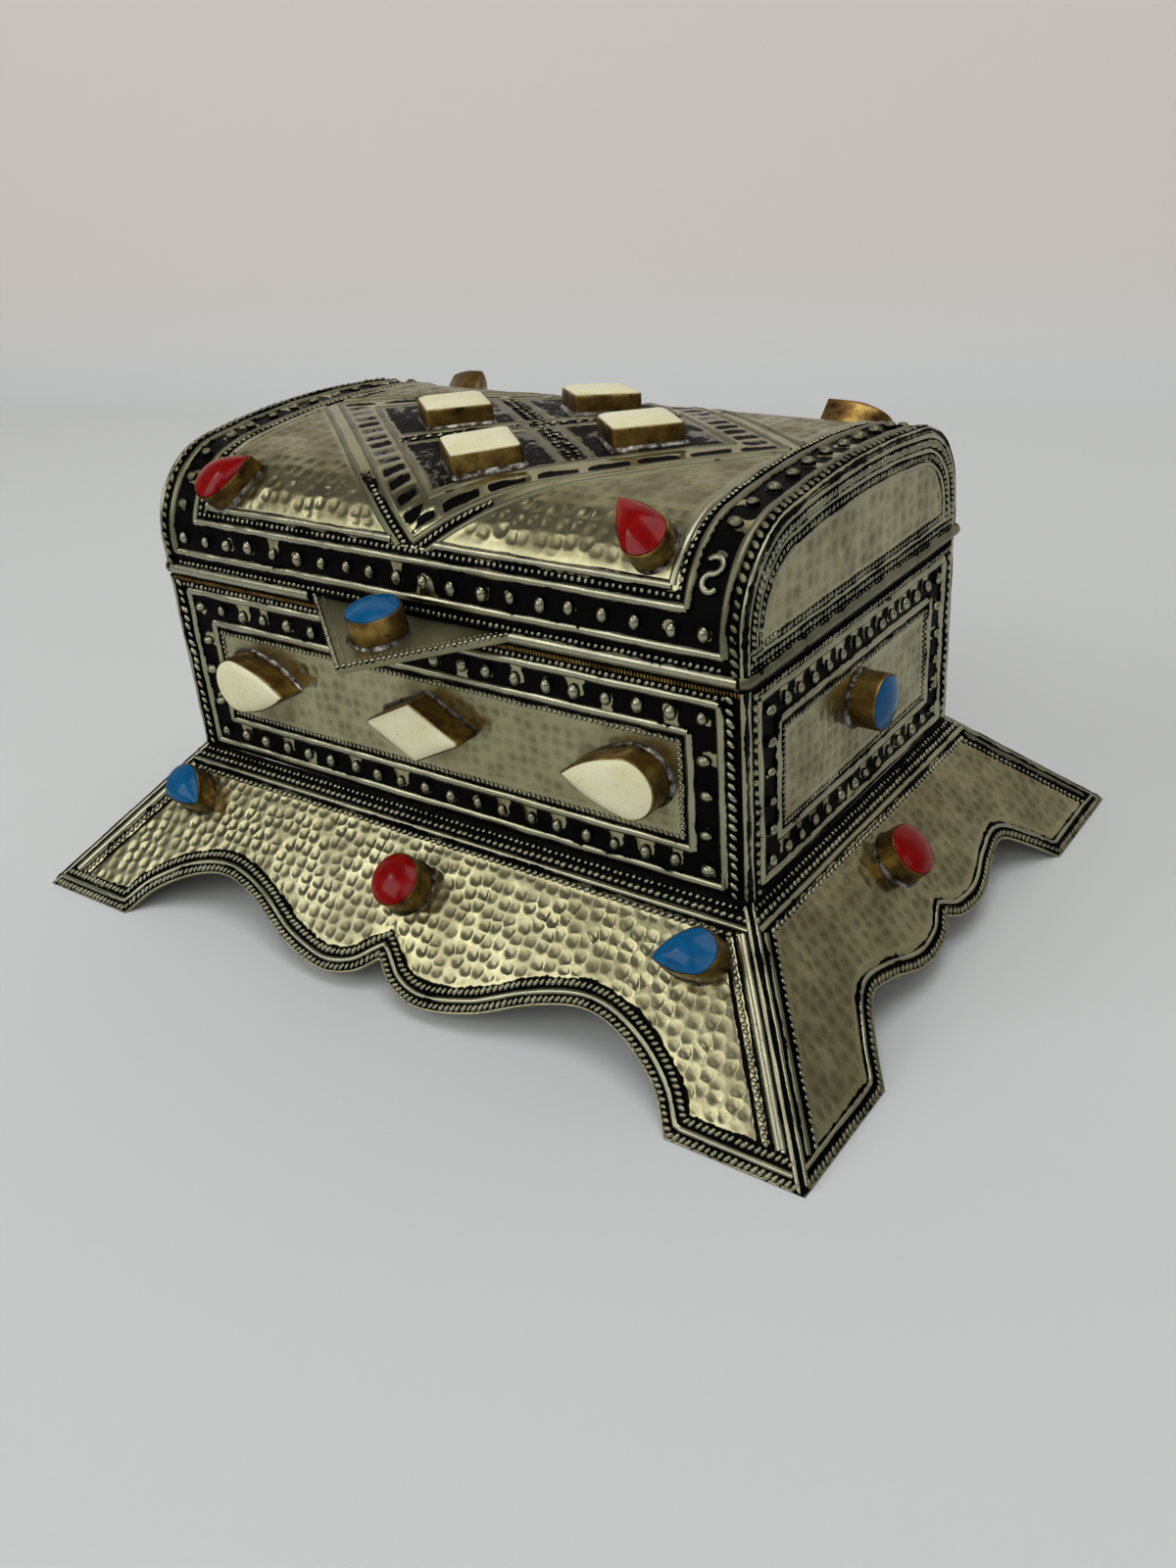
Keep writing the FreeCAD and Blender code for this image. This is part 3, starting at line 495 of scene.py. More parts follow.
def nickel_silver_finish(name, bright, dull, rough):
    """Warm grey nickel silver, stained in its hollows, with brown round its stones that is flux staining and
    painted shadow, and worn black in the punched grounds.
    """
    finish, tree, shader, place = new_finish(name)
    fine = cloudy(tree, place, 850.0, detail=4.0, roughness=0.65)
    broad = cloudy(tree, place, 150.0)
    wide = cloudy(tree, place, 28.0)
    laid_on = attribute(tree, "blacking")
    flakes = minus(tree, fine, 0.5)
    soot = times(tree, minus(tree, broad, 0.5), 1.7)
    worn = plus(tree, laid_on, plus(tree, flakes, soot))
    black = times(tree, between(tree, worn, 0.42, 0.52), between(tree, laid_on, 0.02, 0.12))

    hollow = attribute(tree, "hollow")
    even = ramped(tree, wide, (0.3, bright), (0.7, dull))
    smoked = between(tree, broad, 0.35, 0.7, 0.0, 0.3)
    clean = mixed(tree, smoked, even, (*[part * 0.5 for part in dull], 1.0))
    # Brown round the stones: flux staining, with painted shadow and a painted reflection of the bezel
    stain_and_shade_amount = times(tree, attribute(tree, "stain_and_shade"), 1.3)
    soiled_and_shaded = plus(tree, times(tree, hollow, 0.9), stain_and_shade_amount, clamp=True)
    patch = times(tree, soiled_and_shaded, between(tree, broad, 0.35, 0.65, 0.45, 1.0))
    stained = mixed(tree, times(tree, patch, 0.7), clean, STAIN_AND_SHADE_BROWN)
    speck = times(tree, between(tree, fine, 0.62, 0.74), 0.6)
    dirty = mixed(tree, speck, stained, SPECK_BROWN)
    tarnish = times(tree, attribute(tree, "tarnish"), between(tree, fine, 0.3, 0.7, 0.8, 1.0))
    greyed = mixed(tree, tarnish, dirty, TARNISH_GREY)
    colour = mixed(tree, black, greyed, GROUND_BLACK)
    rubbed = between(tree, broad, 0.3, 0.7, rough, rough + 0.12)
    soiled_rough = plus(tree, rubbed, times(tree, patch, 0.1))
    matt_black = times(tree, black, 0.2)
    fill(tree, shader, {"Base Color": colour, "Metallic": between(tree, black, 0.0, 1.0, 1.0, 0.0),
                        "Roughness": plus(tree, soiled_rough, matt_black),
                        "Specular IOR Level": between(tree, black, 0.0, 1.0, 0.5, 0.03)})
    bumped(tree, shader, plus(tree, fine, times(tree, broad, 0.8)), 0.16, 0.25 * MM)
    return finish


def bezel_brass_finish():
    """Tarnished brass strip with brown and black stains."""
    finish, tree, shader, place = new_finish("tarnished_brass")
    fine = cloudy(tree, place, 1100.0, detail=4.0)
    broad = cloudy(tree, place, 260.0)
    warm = ramped(tree, broad, (0.3, (0.03, 0.014, 0.005)), (0.52, (0.2, 0.12, 0.028)),
                  (0.72, (0.38, 0.25, 0.07)))
    dark = between(tree, fine, 0.6, 0.72)
    colour = mixed(tree, times(tree, dark, 0.8), warm, (0.03, 0.018, 0.008, 1.0))
    fill(tree, shader, {"Base Color": colour, "Metallic": 0.92,
                        "Roughness": between(tree, broad, 0.25, 0.75, 0.52, 0.3)})
    bumped(tree, shader, fine, 0.25, 0.2 * MM)
    return finish


def solder_finish():
    """Grey soft solder that ran round the foot of a bezel."""
    finish, tree, shader, place = new_finish("soft_solder")
    lumps = cloudy(tree, place, 600.0)
    colour = ramped(tree, lumps, (0.40, (0.03, 0.024, 0.016)), (0.66, (0.34, 0.33, 0.29)))
    fill(tree, shader, {"Base Color": colour, "Metallic": 1.0,
                        "Roughness": between(tree, lumps, 0.3, 0.7, 0.45, 0.25)})
    bumped(tree, shader, lumps, 0.5, 0.3 * MM)
    return finish


def glass_stone_finish(name, deep, bright):
    """Polished opaque stone with faint clouds and a few pits."""
    finish, tree, shader, place = new_finish(name)
    clouds = cloudy(tree, place, 320.0, distortion=0.6)
    pits = between(tree, cloudy(tree, place, 1500.0), 0.68, 0.74)
    body = ramped(tree, clouds, (0.3, deep), (0.72, bright))
    colour = mixed(tree, times(tree, pits, 0.5), body, (*[part * 0.3 for part in deep], 1.0))
    fill(tree, shader, {"Base Color": colour, "Roughness": between(tree, clouds, 0.2, 0.8, 0.13, 0.19),
                        "Specular IOR Level": 0.18})
    bumped(tree, shader, clouds, 0.06, 0.3 * MM)
    return finish


def bone_finish():
    """Polished cream bone with fine dark pores and yellowed patches."""
    finish, tree, shader, place = new_finish("polished_bone")
    stretched = flow(tree, "ShaderNodeMapping", {"Vector": place, "Scale": (0.3, 1.0, 1.0)})
    pores = between(tree, cloudy(tree, stretched, 2200.0, detail=2.0), 0.64, 0.72)
    patches = cloudy(tree, place, 130.0)
    cream = ramped(tree, patches, (0.32, (0.90, 0.88, 0.61)), (0.7, (0.80, 0.75, 0.42)))
    colour = mixed(tree, times(tree, pores, 0.35), cream, (0.30, 0.21, 0.10, 1.0))
    fill(tree, shader, {"Base Color": colour, "Roughness": between(tree, patches, 0.3, 0.7, 0.22, 0.36),
                        "Subsurface Weight": 0.12,
                        "Subsurface Radius": (0.6 * MM, 0.45 * MM, 0.3 * MM)})
    bumped(tree, shader, pores, 0.2, 0.1 * MM)
    return finish


def wood_finish(name, turn):
    """Oiled brown wood with its grain along X, turned where the board runs another way."""
    finish, tree, shader, place = new_finish(name)
    laid = flow(tree, "ShaderNodeMapping", {"Vector": place, "Rotation": turn, "Scale": (0.06, 1.0, 1.0)})
    rings = cloudy(tree, laid, 260.0, detail=5.0, distortion=1.2)
    pores = between(tree, cloudy(tree, laid, 2400.0, detail=2.0), 0.6, 0.7)
    tone = ramped(tree, rings, (0.3, (0.10, 0.045, 0.018)), (0.55, (0.19, 0.095, 0.04)),
                  (0.75, (0.27, 0.15, 0.07)))
    colour = mixed(tree, times(tree, pores, 0.7), tone, (0.05, 0.022, 0.01, 1.0))
    fill(tree, shader, {"Base Color": colour, "Roughness": between(tree, rings, 0.3, 0.7, 0.62, 0.48)})
    bumped(tree, shader, rings, 0.25, 0.2 * MM)
    return finish


def hinge_steel_finish():
    """Dull steel with brown tarnish."""
    finish, tree, shader, place = new_finish("dull_hinge_steel")
    drawn = flow(tree, "ShaderNodeMapping", {"Vector": place, "Scale": (0.1, 1.0, 1.0)})
    lines = cloudy(tree, drawn, 2600.0)
    patches = cloudy(tree, place, 180.0)
    colour = ramped(tree, patches, (0.32, (0.16, 0.11, 0.06)), (0.6, (0.42, 0.40, 0.35)))
    fill(tree, shader, {"Base Color": colour, "Metallic": 1.0,
                        "Roughness": between(tree, lines, 0.3, 0.7, 0.3, 0.48)})
    bumped(tree, shader, lines, 0.15, 0.1 * MM)
    return finish


def velvet_finish():
    """Wine-red velvet with a soft pile."""
    finish, tree, shader, place = new_finish("wine_velvet")
    pile = cloudy(tree, place, 1800.0, detail=2.0)
    brushed = cloudy(tree, place, 60.0)
    lay = plus(tree, times(tree, pile, 0.5), times(tree, brushed, 0.5))
    colour = ramped(tree, lay, (0.35, (0.045, 0.004, 0.008)), (0.65, (0.16, 0.012, 0.022)))
    fill(tree, shader, {"Base Color": colour, "Roughness": 0.9, "Sheen Weight": 0.6,
                        "Sheen Roughness": 0.35, "Sheen Tint": (0.9, 0.35, 0.4, 1.0)})
    bumped(tree, shader, pile, 0.5, 0.3 * MM)
    return finish


NICKEL_SILVER = nickel_silver_finish("blackened_nickel_silver", (0.42, 0.405, 0.245),
                                     (0.36, 0.34, 0.185), 0.2)
RUBBED_SILVER = nickel_silver_finish("rubbed_nickel_silver", (0.41, 0.405, 0.285), (0.34, 0.33, 0.215), 0.22)
# Darker, rougher copy of the silver: dull metal, and painted shade on rows along the sides that face away
# from the light
DULL_AND_SHADED_SILVER = nickel_silver_finish("dull_and_shaded_nickel_silver", (0.24, 0.235, 0.15), (0.17, 0.165, 0.095), 0.36)
TAB_SILVER = nickel_silver_finish("worn_tab_silver", (0.34, 0.33, 0.205), (0.27, 0.26, 0.145), 0.36)
BEZEL_BRASS = bezel_brass_finish()
SOLDER = solder_finish()
RED_STONE = glass_stone_finish("red_glass_stone", (0.20, 0.0015, 0.0015), (0.29, 0.004, 0.003))
BLUE_STONE = glass_stone_finish("turquoise_blue_stone", (0.003, 0.075, 0.20), (0.005, 0.12, 0.285))
BONE = bone_finish()
WOOD_ALONG_X = wood_finish("oiled_wood_along", (0.0, 0.0, 0.0))
WOOD_ALONG_Y = wood_finish("oiled_wood_across", (0.0, 0.0, math.pi / 2))
HINGE_STEEL = hinge_steel_finish()
VELVET = velvet_finish()

GRAIN_ROW = grain_row_tree()
RAISED_RIDGE = raised_ridge_tree()
HAMMERED_SHEET = hammered_sheet_tree()


# Where the flat drawings lie

class FlatSide:
    """A flat sheet: its drawing's origin, and the directions of u and v."""

    def __init__(self, origin, along, up):
        self.origin = np.array(origin, float)
        self.along = np.array(along, float)
        self.up = np.array(up, float)
        self.outward = np.cross(self.along, self.up)

    def place(self, drawing):
        """Points of a drawing in space, and the outward directions there."""
        points = self.origin + drawing[:, :1] * self.along + drawing[:, 1:] * self.up
        return points, np.broadcast_to(self.outward, points.shape)

    def fall(self, at, up_distance):
        """How far a flat sheet falls away beside a point: not at all."""
        return np.zeros_like(up_distance)


class VaultSide:
    """The lid's curved sheet: u along the box, v over the vault from the front lower edge."""

    def __init__(self):
        self.crown_angle = math.atan2(SHOULDER_Y, SHOULDER_Z - CROWN_Z)
        self.crown = CROWN_RADIUS * self.crown_angle
        self.shoulder = self.crown + SHOULDER_RADIUS * (math.pi / 2 - self.crown_angle)
        self.half = self.shoulder + LID_SIDE

    def place(self, drawing):
        """Points of a drawing in space, and the outward directions there."""
        side = np.where(drawing[:, 1] < self.half, -1.0, 1.0)
        from_top = np.abs(drawing[:, 1] - self.half)
        on_crown = from_top < self.crown
        on_shoulder = from_top < self.shoulder
        shoulder_angle = np.minimum(self.crown_angle + (from_top - self.crown) / SHOULDER_RADIUS, math.pi / 2)
        angle = np.where(on_crown, from_top / CROWN_RADIUS, shoulder_angle)
        radius = np.where(on_crown, CROWN_RADIUS, SHOULDER_RADIUS)
        below = np.where(on_shoulder, 0.0, from_top - self.shoulder)
        y = np.where(on_crown, 0.0, SHOULDER_Y) + radius * np.sin(angle)
        z = np.where(on_crown, CROWN_Z, SHOULDER_Z) + radius * np.cos(angle) - below
        points = np.column_stack([drawing[:, 0], side * y, z])
        outward = np.column_stack([np.zeros_like(y), side * np.sin(angle), np.cos(angle)])
        return points, outward

    def fall(self, at, up_distance):
        """How far the sheet falls away from the level of a point, at a distance up or down it."""
        v = at[1] + np.linspace(-12, 12, 97) * MM
        points, _ = self.place(np.column_stack([np.full_like(v, at[0]), v]))
        middle, outward = self.place(np.array([at]))
        offset = points - middle[0]
        up = np.cross(outward[0], (1.0, 0.0, 0.0))
        return np.interp(up_distance, offset @ up, offset @ outward[0])


MITRE_REACH = 8.0 * MM


class SkirtShape:
    """Flat shape of one sloping skirt: v runs up the slope from the floor."""

    def __init__(self, scallop, half_top, half_foot, run):
        self.half_top = half_top
        self.half_foot = half_foot
        self.slope = math.hypot(run, BODY_BOTTOM)
        self.hip = math.hypot(half_foot - half_top, self.slope)
        curve = smooth_through(np.array(scallop) * MM)[::-1]
        self.curve_u = curve[:, 0]
        self.curve_v = curve[:, 1]
        self.point_slope = (curve[1, 1] - curve[0, 1]) / (curve[1, 0] - curve[0, 0])

    def edge(self, u):
        """Height of the scalloped lower edge."""
        return np.interp(np.abs(u), self.curve_u, self.curve_v, right=0.0)

    def half_edge(self, u):
        """Lower edge of one half, carried straight on past the middle so that rows meet in a mitre."""
        return np.where(u < 0, self.curve_v[0] + self.point_slope * u, self.edge(u))

    def from_hip(self, drawing):
        """Distance in from the nearer hip."""
        narrowing = self.half_foot - self.half_top
        return ((self.half_foot - np.abs(drawing[:, 0])) * self.slope - drawing[:, 1] * narrowing) / self.hip

    def from_edge(self, drawing):
        """Distance in from the scalloped lower edge."""
        u = np.arange(-MITRE_REACH, self.half_foot, RELIEF_STEP / 2)
        folded = np.column_stack([np.abs(drawing[:, 0]), drawing[:, 1]])
        return nearest(folded, np.column_stack([u, self.half_edge(u)]))

    def border_line(self, inset, hip_gap):
        """Line at a distance in from the lower edge, between the hip rows."""
        u = np.arange(-self.half_foot, self.half_foot, RELIEF_STEP)
        reach = np.linspace(-inset, inset, 61)
        rise = np.sqrt(np.maximum(inset ** 2 - reach ** 2, 0))
        v = (self.half_edge(np.abs(u)[:, None] + reach[None]) + rise[None]).max(axis=1)
        line = np.column_stack([u, v])
        return line[self.from_hip(line) > hip_gap]

    def hip_line(self, side, inset, low, high):
        """Line beside one hip, at a distance in from it."""
        v = np.linspace(low, high, 40)
        narrowing = self.half_foot - self.half_top
        u = self.half_foot - (inset * self.hip + v * narrowing) / self.slope
        return np.column_stack([side * u, v])

    def level_line(self, v, hip_gap):
        """Line along the skirt at one height."""
        reach = self.half_foot - (hip_gap * self.hip + v * (self.half_foot - self.half_top)) / self.slope
        return np.array([(-reach, v), (reach, v)])


def smooth_through(points, steps=16):
    """Smooth curve through a few points, as short straight runs."""
    before = np.vstack([2 * points[0] - points[1], points[:-1]])
    after = np.vstack([points[1:], 2 * points[-1] - points[-2]])
    tangents = (after - before) / 2
    s = np.linspace(0, 1, steps, endpoint=False)[:, None]
    runs = []
    for i in range(len(points) - 1):
        runs.append((1 + 2 * s) * (1 - s) ** 2 * points[i] + s * (1 - s) ** 2 * tangents[i]
                    + s ** 2 * (3 - 2 * s) * points[i + 1] + s ** 2 * (s - 1) * tangents[i + 1])
    return np.vstack(runs + [points[-1:]])


VAULT = VaultSide()
ALONG = {"front": (1, 0, 0), "right": (0, 1, 0), "back": (-1, 0, 0), "left": (0, -1, 0)}
OUTWARD = {"front": (0, -1, 0), "right": (1, 0, 0), "back": (0, 1, 0), "left": (-1, 0, 0)}
UP = np.array((0.0, 0.0, 1.0))
LONG_SIDES = ("front", "back")
FRONT_RUN = HALF_FOOT_DEPTH - HALF_DEPTH
END_RUN = HALF_FOOT_LENGTH - HALF_LENGTH
FRONT_SKIRT = SkirtShape(FRONT_SCALLOP, HALF_LENGTH, HALF_FOOT_LENGTH, FRONT_RUN)
END_SKIRT = SkirtShape(END_SCALLOP, HALF_DEPTH, HALF_FOOT_DEPTH, END_RUN)


def upright_side(name):
    """Flat side of the box or of a lid end, its drawing's v measured from the floor."""
    reach = HALF_DEPTH if name in LONG_SIDES else HALF_LENGTH
    return FlatSide(np.array(OUTWARD[name]) * reach, ALONG[name], UP)


def skirt_side(name):
    """Sloping side of the skirt."""
    outward = np.array(OUTWARD[name], float)
    foot = HALF_FOOT_DEPTH if name in LONG_SIDES else HALF_FOOT_LENGTH
    run = FRONT_RUN if name in LONG_SIDES else END_RUN
    slope = math.hypot(run, BODY_BOTTOM)
    return FlatSide(outward * foot, ALONG[name], (UP * BODY_BOTTOM - outward * run) / slope)


# Rows of grains and ridges, as one punch or wire makes them

def grain(pitch, length, width, height, slant=0.0, unevenness=0.13, blackness=0.0, segments=8, rings=5):
    """Sizes of one punch, in millimetres and degrees. Length is along the row."""
    return dict(Pitch=pitch * MM, Length=length * MM, Width=width * MM, Height=height * MM,
                Slant=math.radians(slant), Unevenness=unevenness, Blackness=blackness,
                Segments=segments, Rings=rings)


def ridge(width, height, waver=0.3, unevenness=0.9, blackness=0.0, step=1.3):
    """Sizes of one ridge, in millimetres."""
    return dict(Step=step * MM, Width=width * MM, Height=height * MM, Waver=waver * MM, Unevenness=unevenness,
                Blackness=blackness)


ROPE = grain(1.15, 1.8, 0.95, 0.6, slant=50, unevenness=0.16, blackness=0.25)
THICK_ROPE = grain(1.8, 2.4, 1.25, 0.7, slant=50, unevenness=0.22, blackness=0.55)
FINE_ROPE = grain(1.25, 1.3, 0.85, 0.42, slant=40, unevenness=0.2, blackness=0.4)
DARK_ROPE = grain(1.25, 1.05, 0.95, 0.4, slant=30, unevenness=0.25, blackness=0.75)
BRIGHT_ROPE = grain(1.4, 1.45, 1.05, 0.5, slant=30, unevenness=0.15, blackness=0.25)
DOTS = grain(1.3, 0.95, 0.95, 0.42, unevenness=0.2, blackness=0.45)
SERRATION = grain(1.05, 0.8, 0.95, 0.34, slant=-14, unevenness=0.18, blackness=0.15)
BEADS = grain(6.1, 2.0, 2.6, 1.05, unevenness=0.17, segments=12, rings=7)
END_BEADS = grain(4.9, 1.7, 2.4, 1.0, unevenness=0.17, segments=12, rings=7)
MARKS = grain(2.3, 1.5, 0.75, 0.3, slant=35, unevenness=0.5, blackness=0.4)
MILLING = grain(1.0, 1.1, 0.9, 0.45, slant=-40, unevenness=0.18)
TAB_DOTS = grain(0.9, 0.5, 0.5, 0.16, unevenness=0.2, blackness=0.2)
EDGING = grain(0.62, 0.42, 1.0, 0.2, slant=8)
RIDGE = ridge(1.85, 0.45, waver=0.4, unevenness=0.7, blackness=0.3)
HEM_RIDGE = ridge(1.15, 0.5, unevenness=0.4, blackness=0.35)
THIN_RIDGE = ridge(1.0, 0.36, blackness=0.45)
DARK_RIDGE = ridge(1.3, 0.42, waver=0.2, unevenness=0.5, blackness=0.48)
SOFT_RIDGE = ridge(1.5, 0.28, waver=0.3, unevenness=0.6, blackness=0.15)
FLAT_BAND = ridge(2.4, 0.24, waver=0.4, unevenness=0.5, blackness=0.1)
SCROLL = ridge(1.1, 0.65, waver=0.1, unevenness=0.3, blackness=0.2, step=0.3)
HIP_STRIP = ridge(2.3, 0.55, waver=0.2, unevenness=0.3, blackness=0.1)
RIM_WIRE = ridge(2.4, 1.2, waver=0.1, unevenness=0.1, blackness=0.3, step=1.0)


# Rows stretch to a hair under a whole number of grains, so that rounding drops none at the end
ROW_FIT = 0.9995


def keep_on_points(mesh, label, values):
    """Keep a number or a vector on each point of a mesh, under a name."""
    values = np.array(values, np.float32)
    vectors = values.ndim == 2
    layer = mesh.attributes.new(label, "FLOAT_VECTOR" if vectors else "FLOAT", "POINT")
    layer.data.foreach_set("vector" if vectors else "value", values.ravel())


def line_mesh(placed_lines, spacing):
    """Mesh of bare edges along lines in space, for rows of grains.

    Each point keeps the outward direction, and how far the spacing stretches so that its row ends on a grain.
    """
    mesh = bpy.data.meshes.new("lines")
    points = []
    outward = []
    fit = []
    edges = []
    for placed, directions in placed_lines:
        first = len(points)
        length = np.linalg.norm(np.diff(placed, axis=0), axis=1).sum()
        count = max(1, round(length / spacing))
        points.extend(placed)
        outward.extend(directions)
        fit.extend([length / (count * spacing) * ROW_FIT] * len(placed))
        edges.extend((first + i, first + i + 1) for i in range(len(placed) - 1))
    mesh.from_pydata(points, edges, [])
    keep_on_points(mesh, "outward", outward)
    keep_on_points(mesh, "fit", fit)
    return mesh


def row_of(name, placed_lines, style, seed, finish=RUBBED_SILVER):
    """Grains or ridges of one style along lines in space."""
    in_grains = "Pitch" in style
    lines = line_mesh(placed_lines, style["Pitch"] if in_grains else style["Step"])
    return run_tree(name, lines, GRAIN_ROW if in_grains else RAISED_RIDGE, Seed=seed, Finish=finish, **style)


def join(name, objects):
    """One object from several."""
    first = objects[0]
    first.name = name
    with bpy.context.temp_override(active_object=first, object=first, selected_objects=objects,
                                   selected_editable_objects=objects):
        bpy.ops.object.join()
    return first


def kept_in_box(piece):
    """The piece with every point inside the overall size."""
    points = np.empty(3 * len(piece.data.vertices), np.float32)
    piece.data.vertices.foreach_get("co", points)
    points = np.clip(points.reshape(-1, 3), *CAD_BOX)
    piece.data.vertices.foreach_set("co", points.astype(np.float32).ravel())
    piece.data.update()
    return piece


def beadwork(name, side, rows, seed):
    """All the rows of one sheet as one piece. rows holds (style, lines) and perhaps a finish."""
    made = []
    for index, (style, lines, *finish) in enumerate(rows):
        placed = [side.place(np.asarray(line, float)) for line in lines]
        made.append(row_of(name + str(index), placed, style, seed + 10 * index, *finish))
    return kept_in_box(join(name, made))


# Sheets

def ruled_grid(lower, upper, rows):
    """Grid of a drawing between two curves, as rows by columns of (u, v)."""
    share = np.linspace(0, 1, rows)[:, None, None]
    return lower[None] * (1 - share) + upper[None] * share


def at_height(u, v):
    """Points of a drawing at one height."""
    return np.column_stack([u, np.full_like(u, v)])


def steps_for(length, step=RELIEF_STEP):
    """Points that a length needs."""
    return int(round(length / step)) + 1


def grid_faces(rows, columns):
    """Faces of a grid of points."""
    faces = []
    for j in range(rows - 1):
        start = j * columns
        faces.extend((start + i, start + i + 1, start + columns + i + 1, start + columns + i)
                     for i in range(columns - 1))
    return faces


def grid_rim(rows, columns):
    """Points round the edge of a grid, in order."""
    last_row = (rows - 1) * columns
    rim = list(range(columns))
    rim += [j * columns + columns - 1 for j in range(1, rows)]
    rim += [last_row + i for i in range(columns - 2, -1, -1)]
    rim += [j * columns for j in range(rows - 2, 0, -1)]
    return rim


def embossed_sheet(name, side, grid, ground, hammer, seed):
    """Sheet of the real thickness. ground gives its relief and kinds of surface at points of the drawing.

    hammer holds the spacing and the depth of the hammer marks.
    """
    dimple, depth = hammer
    rows, columns = grid.shape[:2]
    drawing = grid.reshape(-1, 2)
    points, outward = side.place(drawing)
    surface = ground(drawing)
    relief = surface.pop("relief")
    faces = grid_faces(rows, columns)
    rim = grid_rim(rows, columns)
    count = len(points)
    inner = {index: count + order for order, index in enumerate(rim)}
    for here, after in zip(rim, rim[1:] + rim[:1]):
        faces.append((after, here, inner[here], inner[after]))
    if isinstance(side, FlatSide):
        faces.append([inner[index] for index in reversed(rim)])
    else:
        faces.extend(vault_back(rows, columns, inner))
    rim_points = points[rim] - outward[rim] * SHEET
    rim_points[:, 2] = np.maximum(rim_points[:, 2], 0.0)
    mesh = bpy.data.meshes.new(name)
    mesh.from_pydata(np.vstack([points + outward * relief[:, None], rim_points]).tolist(), [], faces)
    spare = len(rim)
    for label, values in surface.items():
        keep_on_points(mesh, label, np.concatenate([values, np.zeros(spare)]))
    flat = np.column_stack([drawing, np.zeros(count)])
    keep_on_points(mesh, "drawing", np.vstack([flat, flat[rim]]))
    keep_on_points(mesh, "outward", np.vstack([outward, np.zeros((spare, 3))]))
    sheet = run_tree(name, mesh, HAMMERED_SHEET, Dimple=dimple, Depth=depth, Waver=SHEET_WAVER, Seed=seed,
                     Finish=NICKEL_SILVER)
    return kept_in_box(sheet)


def vault_back(rows, columns, inner):
    """Inner faces of the vault: one strip for each row, from end to end."""
    faces = []
    for j in range(rows - 1):
        low = [j * columns + i for i in (range(columns) if j == 0 else (0, columns - 1))]
        last = j == rows - 2
        high = [(j + 1) * columns + i for i in (range(columns) if last else (0, columns - 1))]
        faces.append([inner[index] for index in high + low[::-1]])
    return faces


# Grounds of the drawings

GROUND_SINK = 0.22 * MM
WEAR_SOFT = 1.2 * MM
LINE_SOFT = 0.6 * MM
BOWL_RADIUS = 2.5 * MM
BOWL_DEPTH = 0.2 * MM
BOWL_MARGIN = 0.4 * MM
EDGE_FADE = 0.6 * MM
# Worn tongues: half breadth in millimetres, flare, and ends in lengths of the tongue
TONGUE_BREADTH = (0.8, 1.4)
TONGUE_FLARE = 0.9
TONGUE_ENDS = (-0.2, 1.2)
TONGUE_END_SOFT = 0.3
# Wear of the black round beads, reach of the brown round a stone (flux staining and painted shadow), staining
# all over the end panels
HALO_RADIUS = 1.3 * MM
HALO_WEAR = 0.6
STAIN_AND_SHADE_REACH = 2.2 * MM
END_PANEL_STAIN = 0.25


def within(value, low, high, soft=0.5 * MM):
    """1 between two limits, 0 outside, with a soft edge."""
    return np.clip(np.minimum(value - low, high - value) / soft + 0.5, 0, 1)


def beyond(value, limit, soft=0.5 * MM):
    """1 past a limit, 0 before it, with a soft edge."""
    return np.clip((value - limit) / soft + 0.5, 0, 1)


def nearest(drawing, places):
    """Distance from each point of a drawing to the nearest of some places."""
    tree = kdtree.KDTree(len(places))
    for index, (x, y) in enumerate(places):
        tree.insert((x, y, 0), index)
    tree.balance()
    return np.array([tree.find((x, y, 0))[2] for x, y in drawing])


def frame_lines(half, low, high, inset):
    """Four separate sides of a rectangle, drawn in by an inset: bottom, right, top, left."""
    u = half - inset
    bottom = low + inset
    top = high - inset
    return [[(-u, bottom), (u, bottom)], [(u, bottom), (u, top)],
            [(u, top), (-u, top)], [(-u, top), (-u, bottom)]]


FRAME_INWARD = ((0.0, 1.0), (-1.0, 0.0), (0.0, -1.0), (1.0, 0.0))


def bead_rows(half, low, high, inset, style):
    """Places of the beads round a frame. Each side's row stops one bead short of the next corner."""
    rows = []
    for start, end in np.array(frame_lines(half, low, high, inset)):
        count = round(np.linalg.norm(end - start) / style["Pitch"])
        rows.append(start + (end - start) * np.arange(count)[:, None] / count)
    return rows


def worn_tongues(rows, shares, out_reach, in_reach, seed):
    """Worn tongues of bright metal from some beads to a ridge: (bead, direction, reach, half breadth).

    shares gives for each side of the frame the parts of its beads that reach the outer and the inner ridge.
    """
    draw = np.random.default_rng(seed)
    tongues = []
    for row, inward, (outer_share, inner_share) in zip(rows, np.array(FRAME_INWARD), shares):
        for place in row[1:]:
            pick = draw.random()
            breadth = draw.uniform(*TONGUE_BREADTH) * MM
            if pick < outer_share:
                tongues.append((place, -inward, out_reach, breadth))
            elif pick < outer_share + inner_share:
                tongues.append((place, inward, in_reach, breadth))
    return tongues


def worn_away(drawing, tongues):
    """1 where a worn tongue has taken the black off."""
    worn = np.zeros(len(drawing))
    for place, direction, reach, breadth in tongues:
        offset = drawing - place
        ahead = offset @ direction / reach
        beside = np.abs(offset @ np.array((-direction[1], direction[0])))
        half_width = breadth * (1.0 + TONGUE_FLARE * np.clip(ahead, 0, 1) ** 2)
        across = np.clip((half_width - beside) / WEAR_SOFT + 0.5, 0, 1)
        worn = np.maximum(worn, within(ahead, *TONGUE_ENDS, TONGUE_END_SOFT) * across)
    return worn


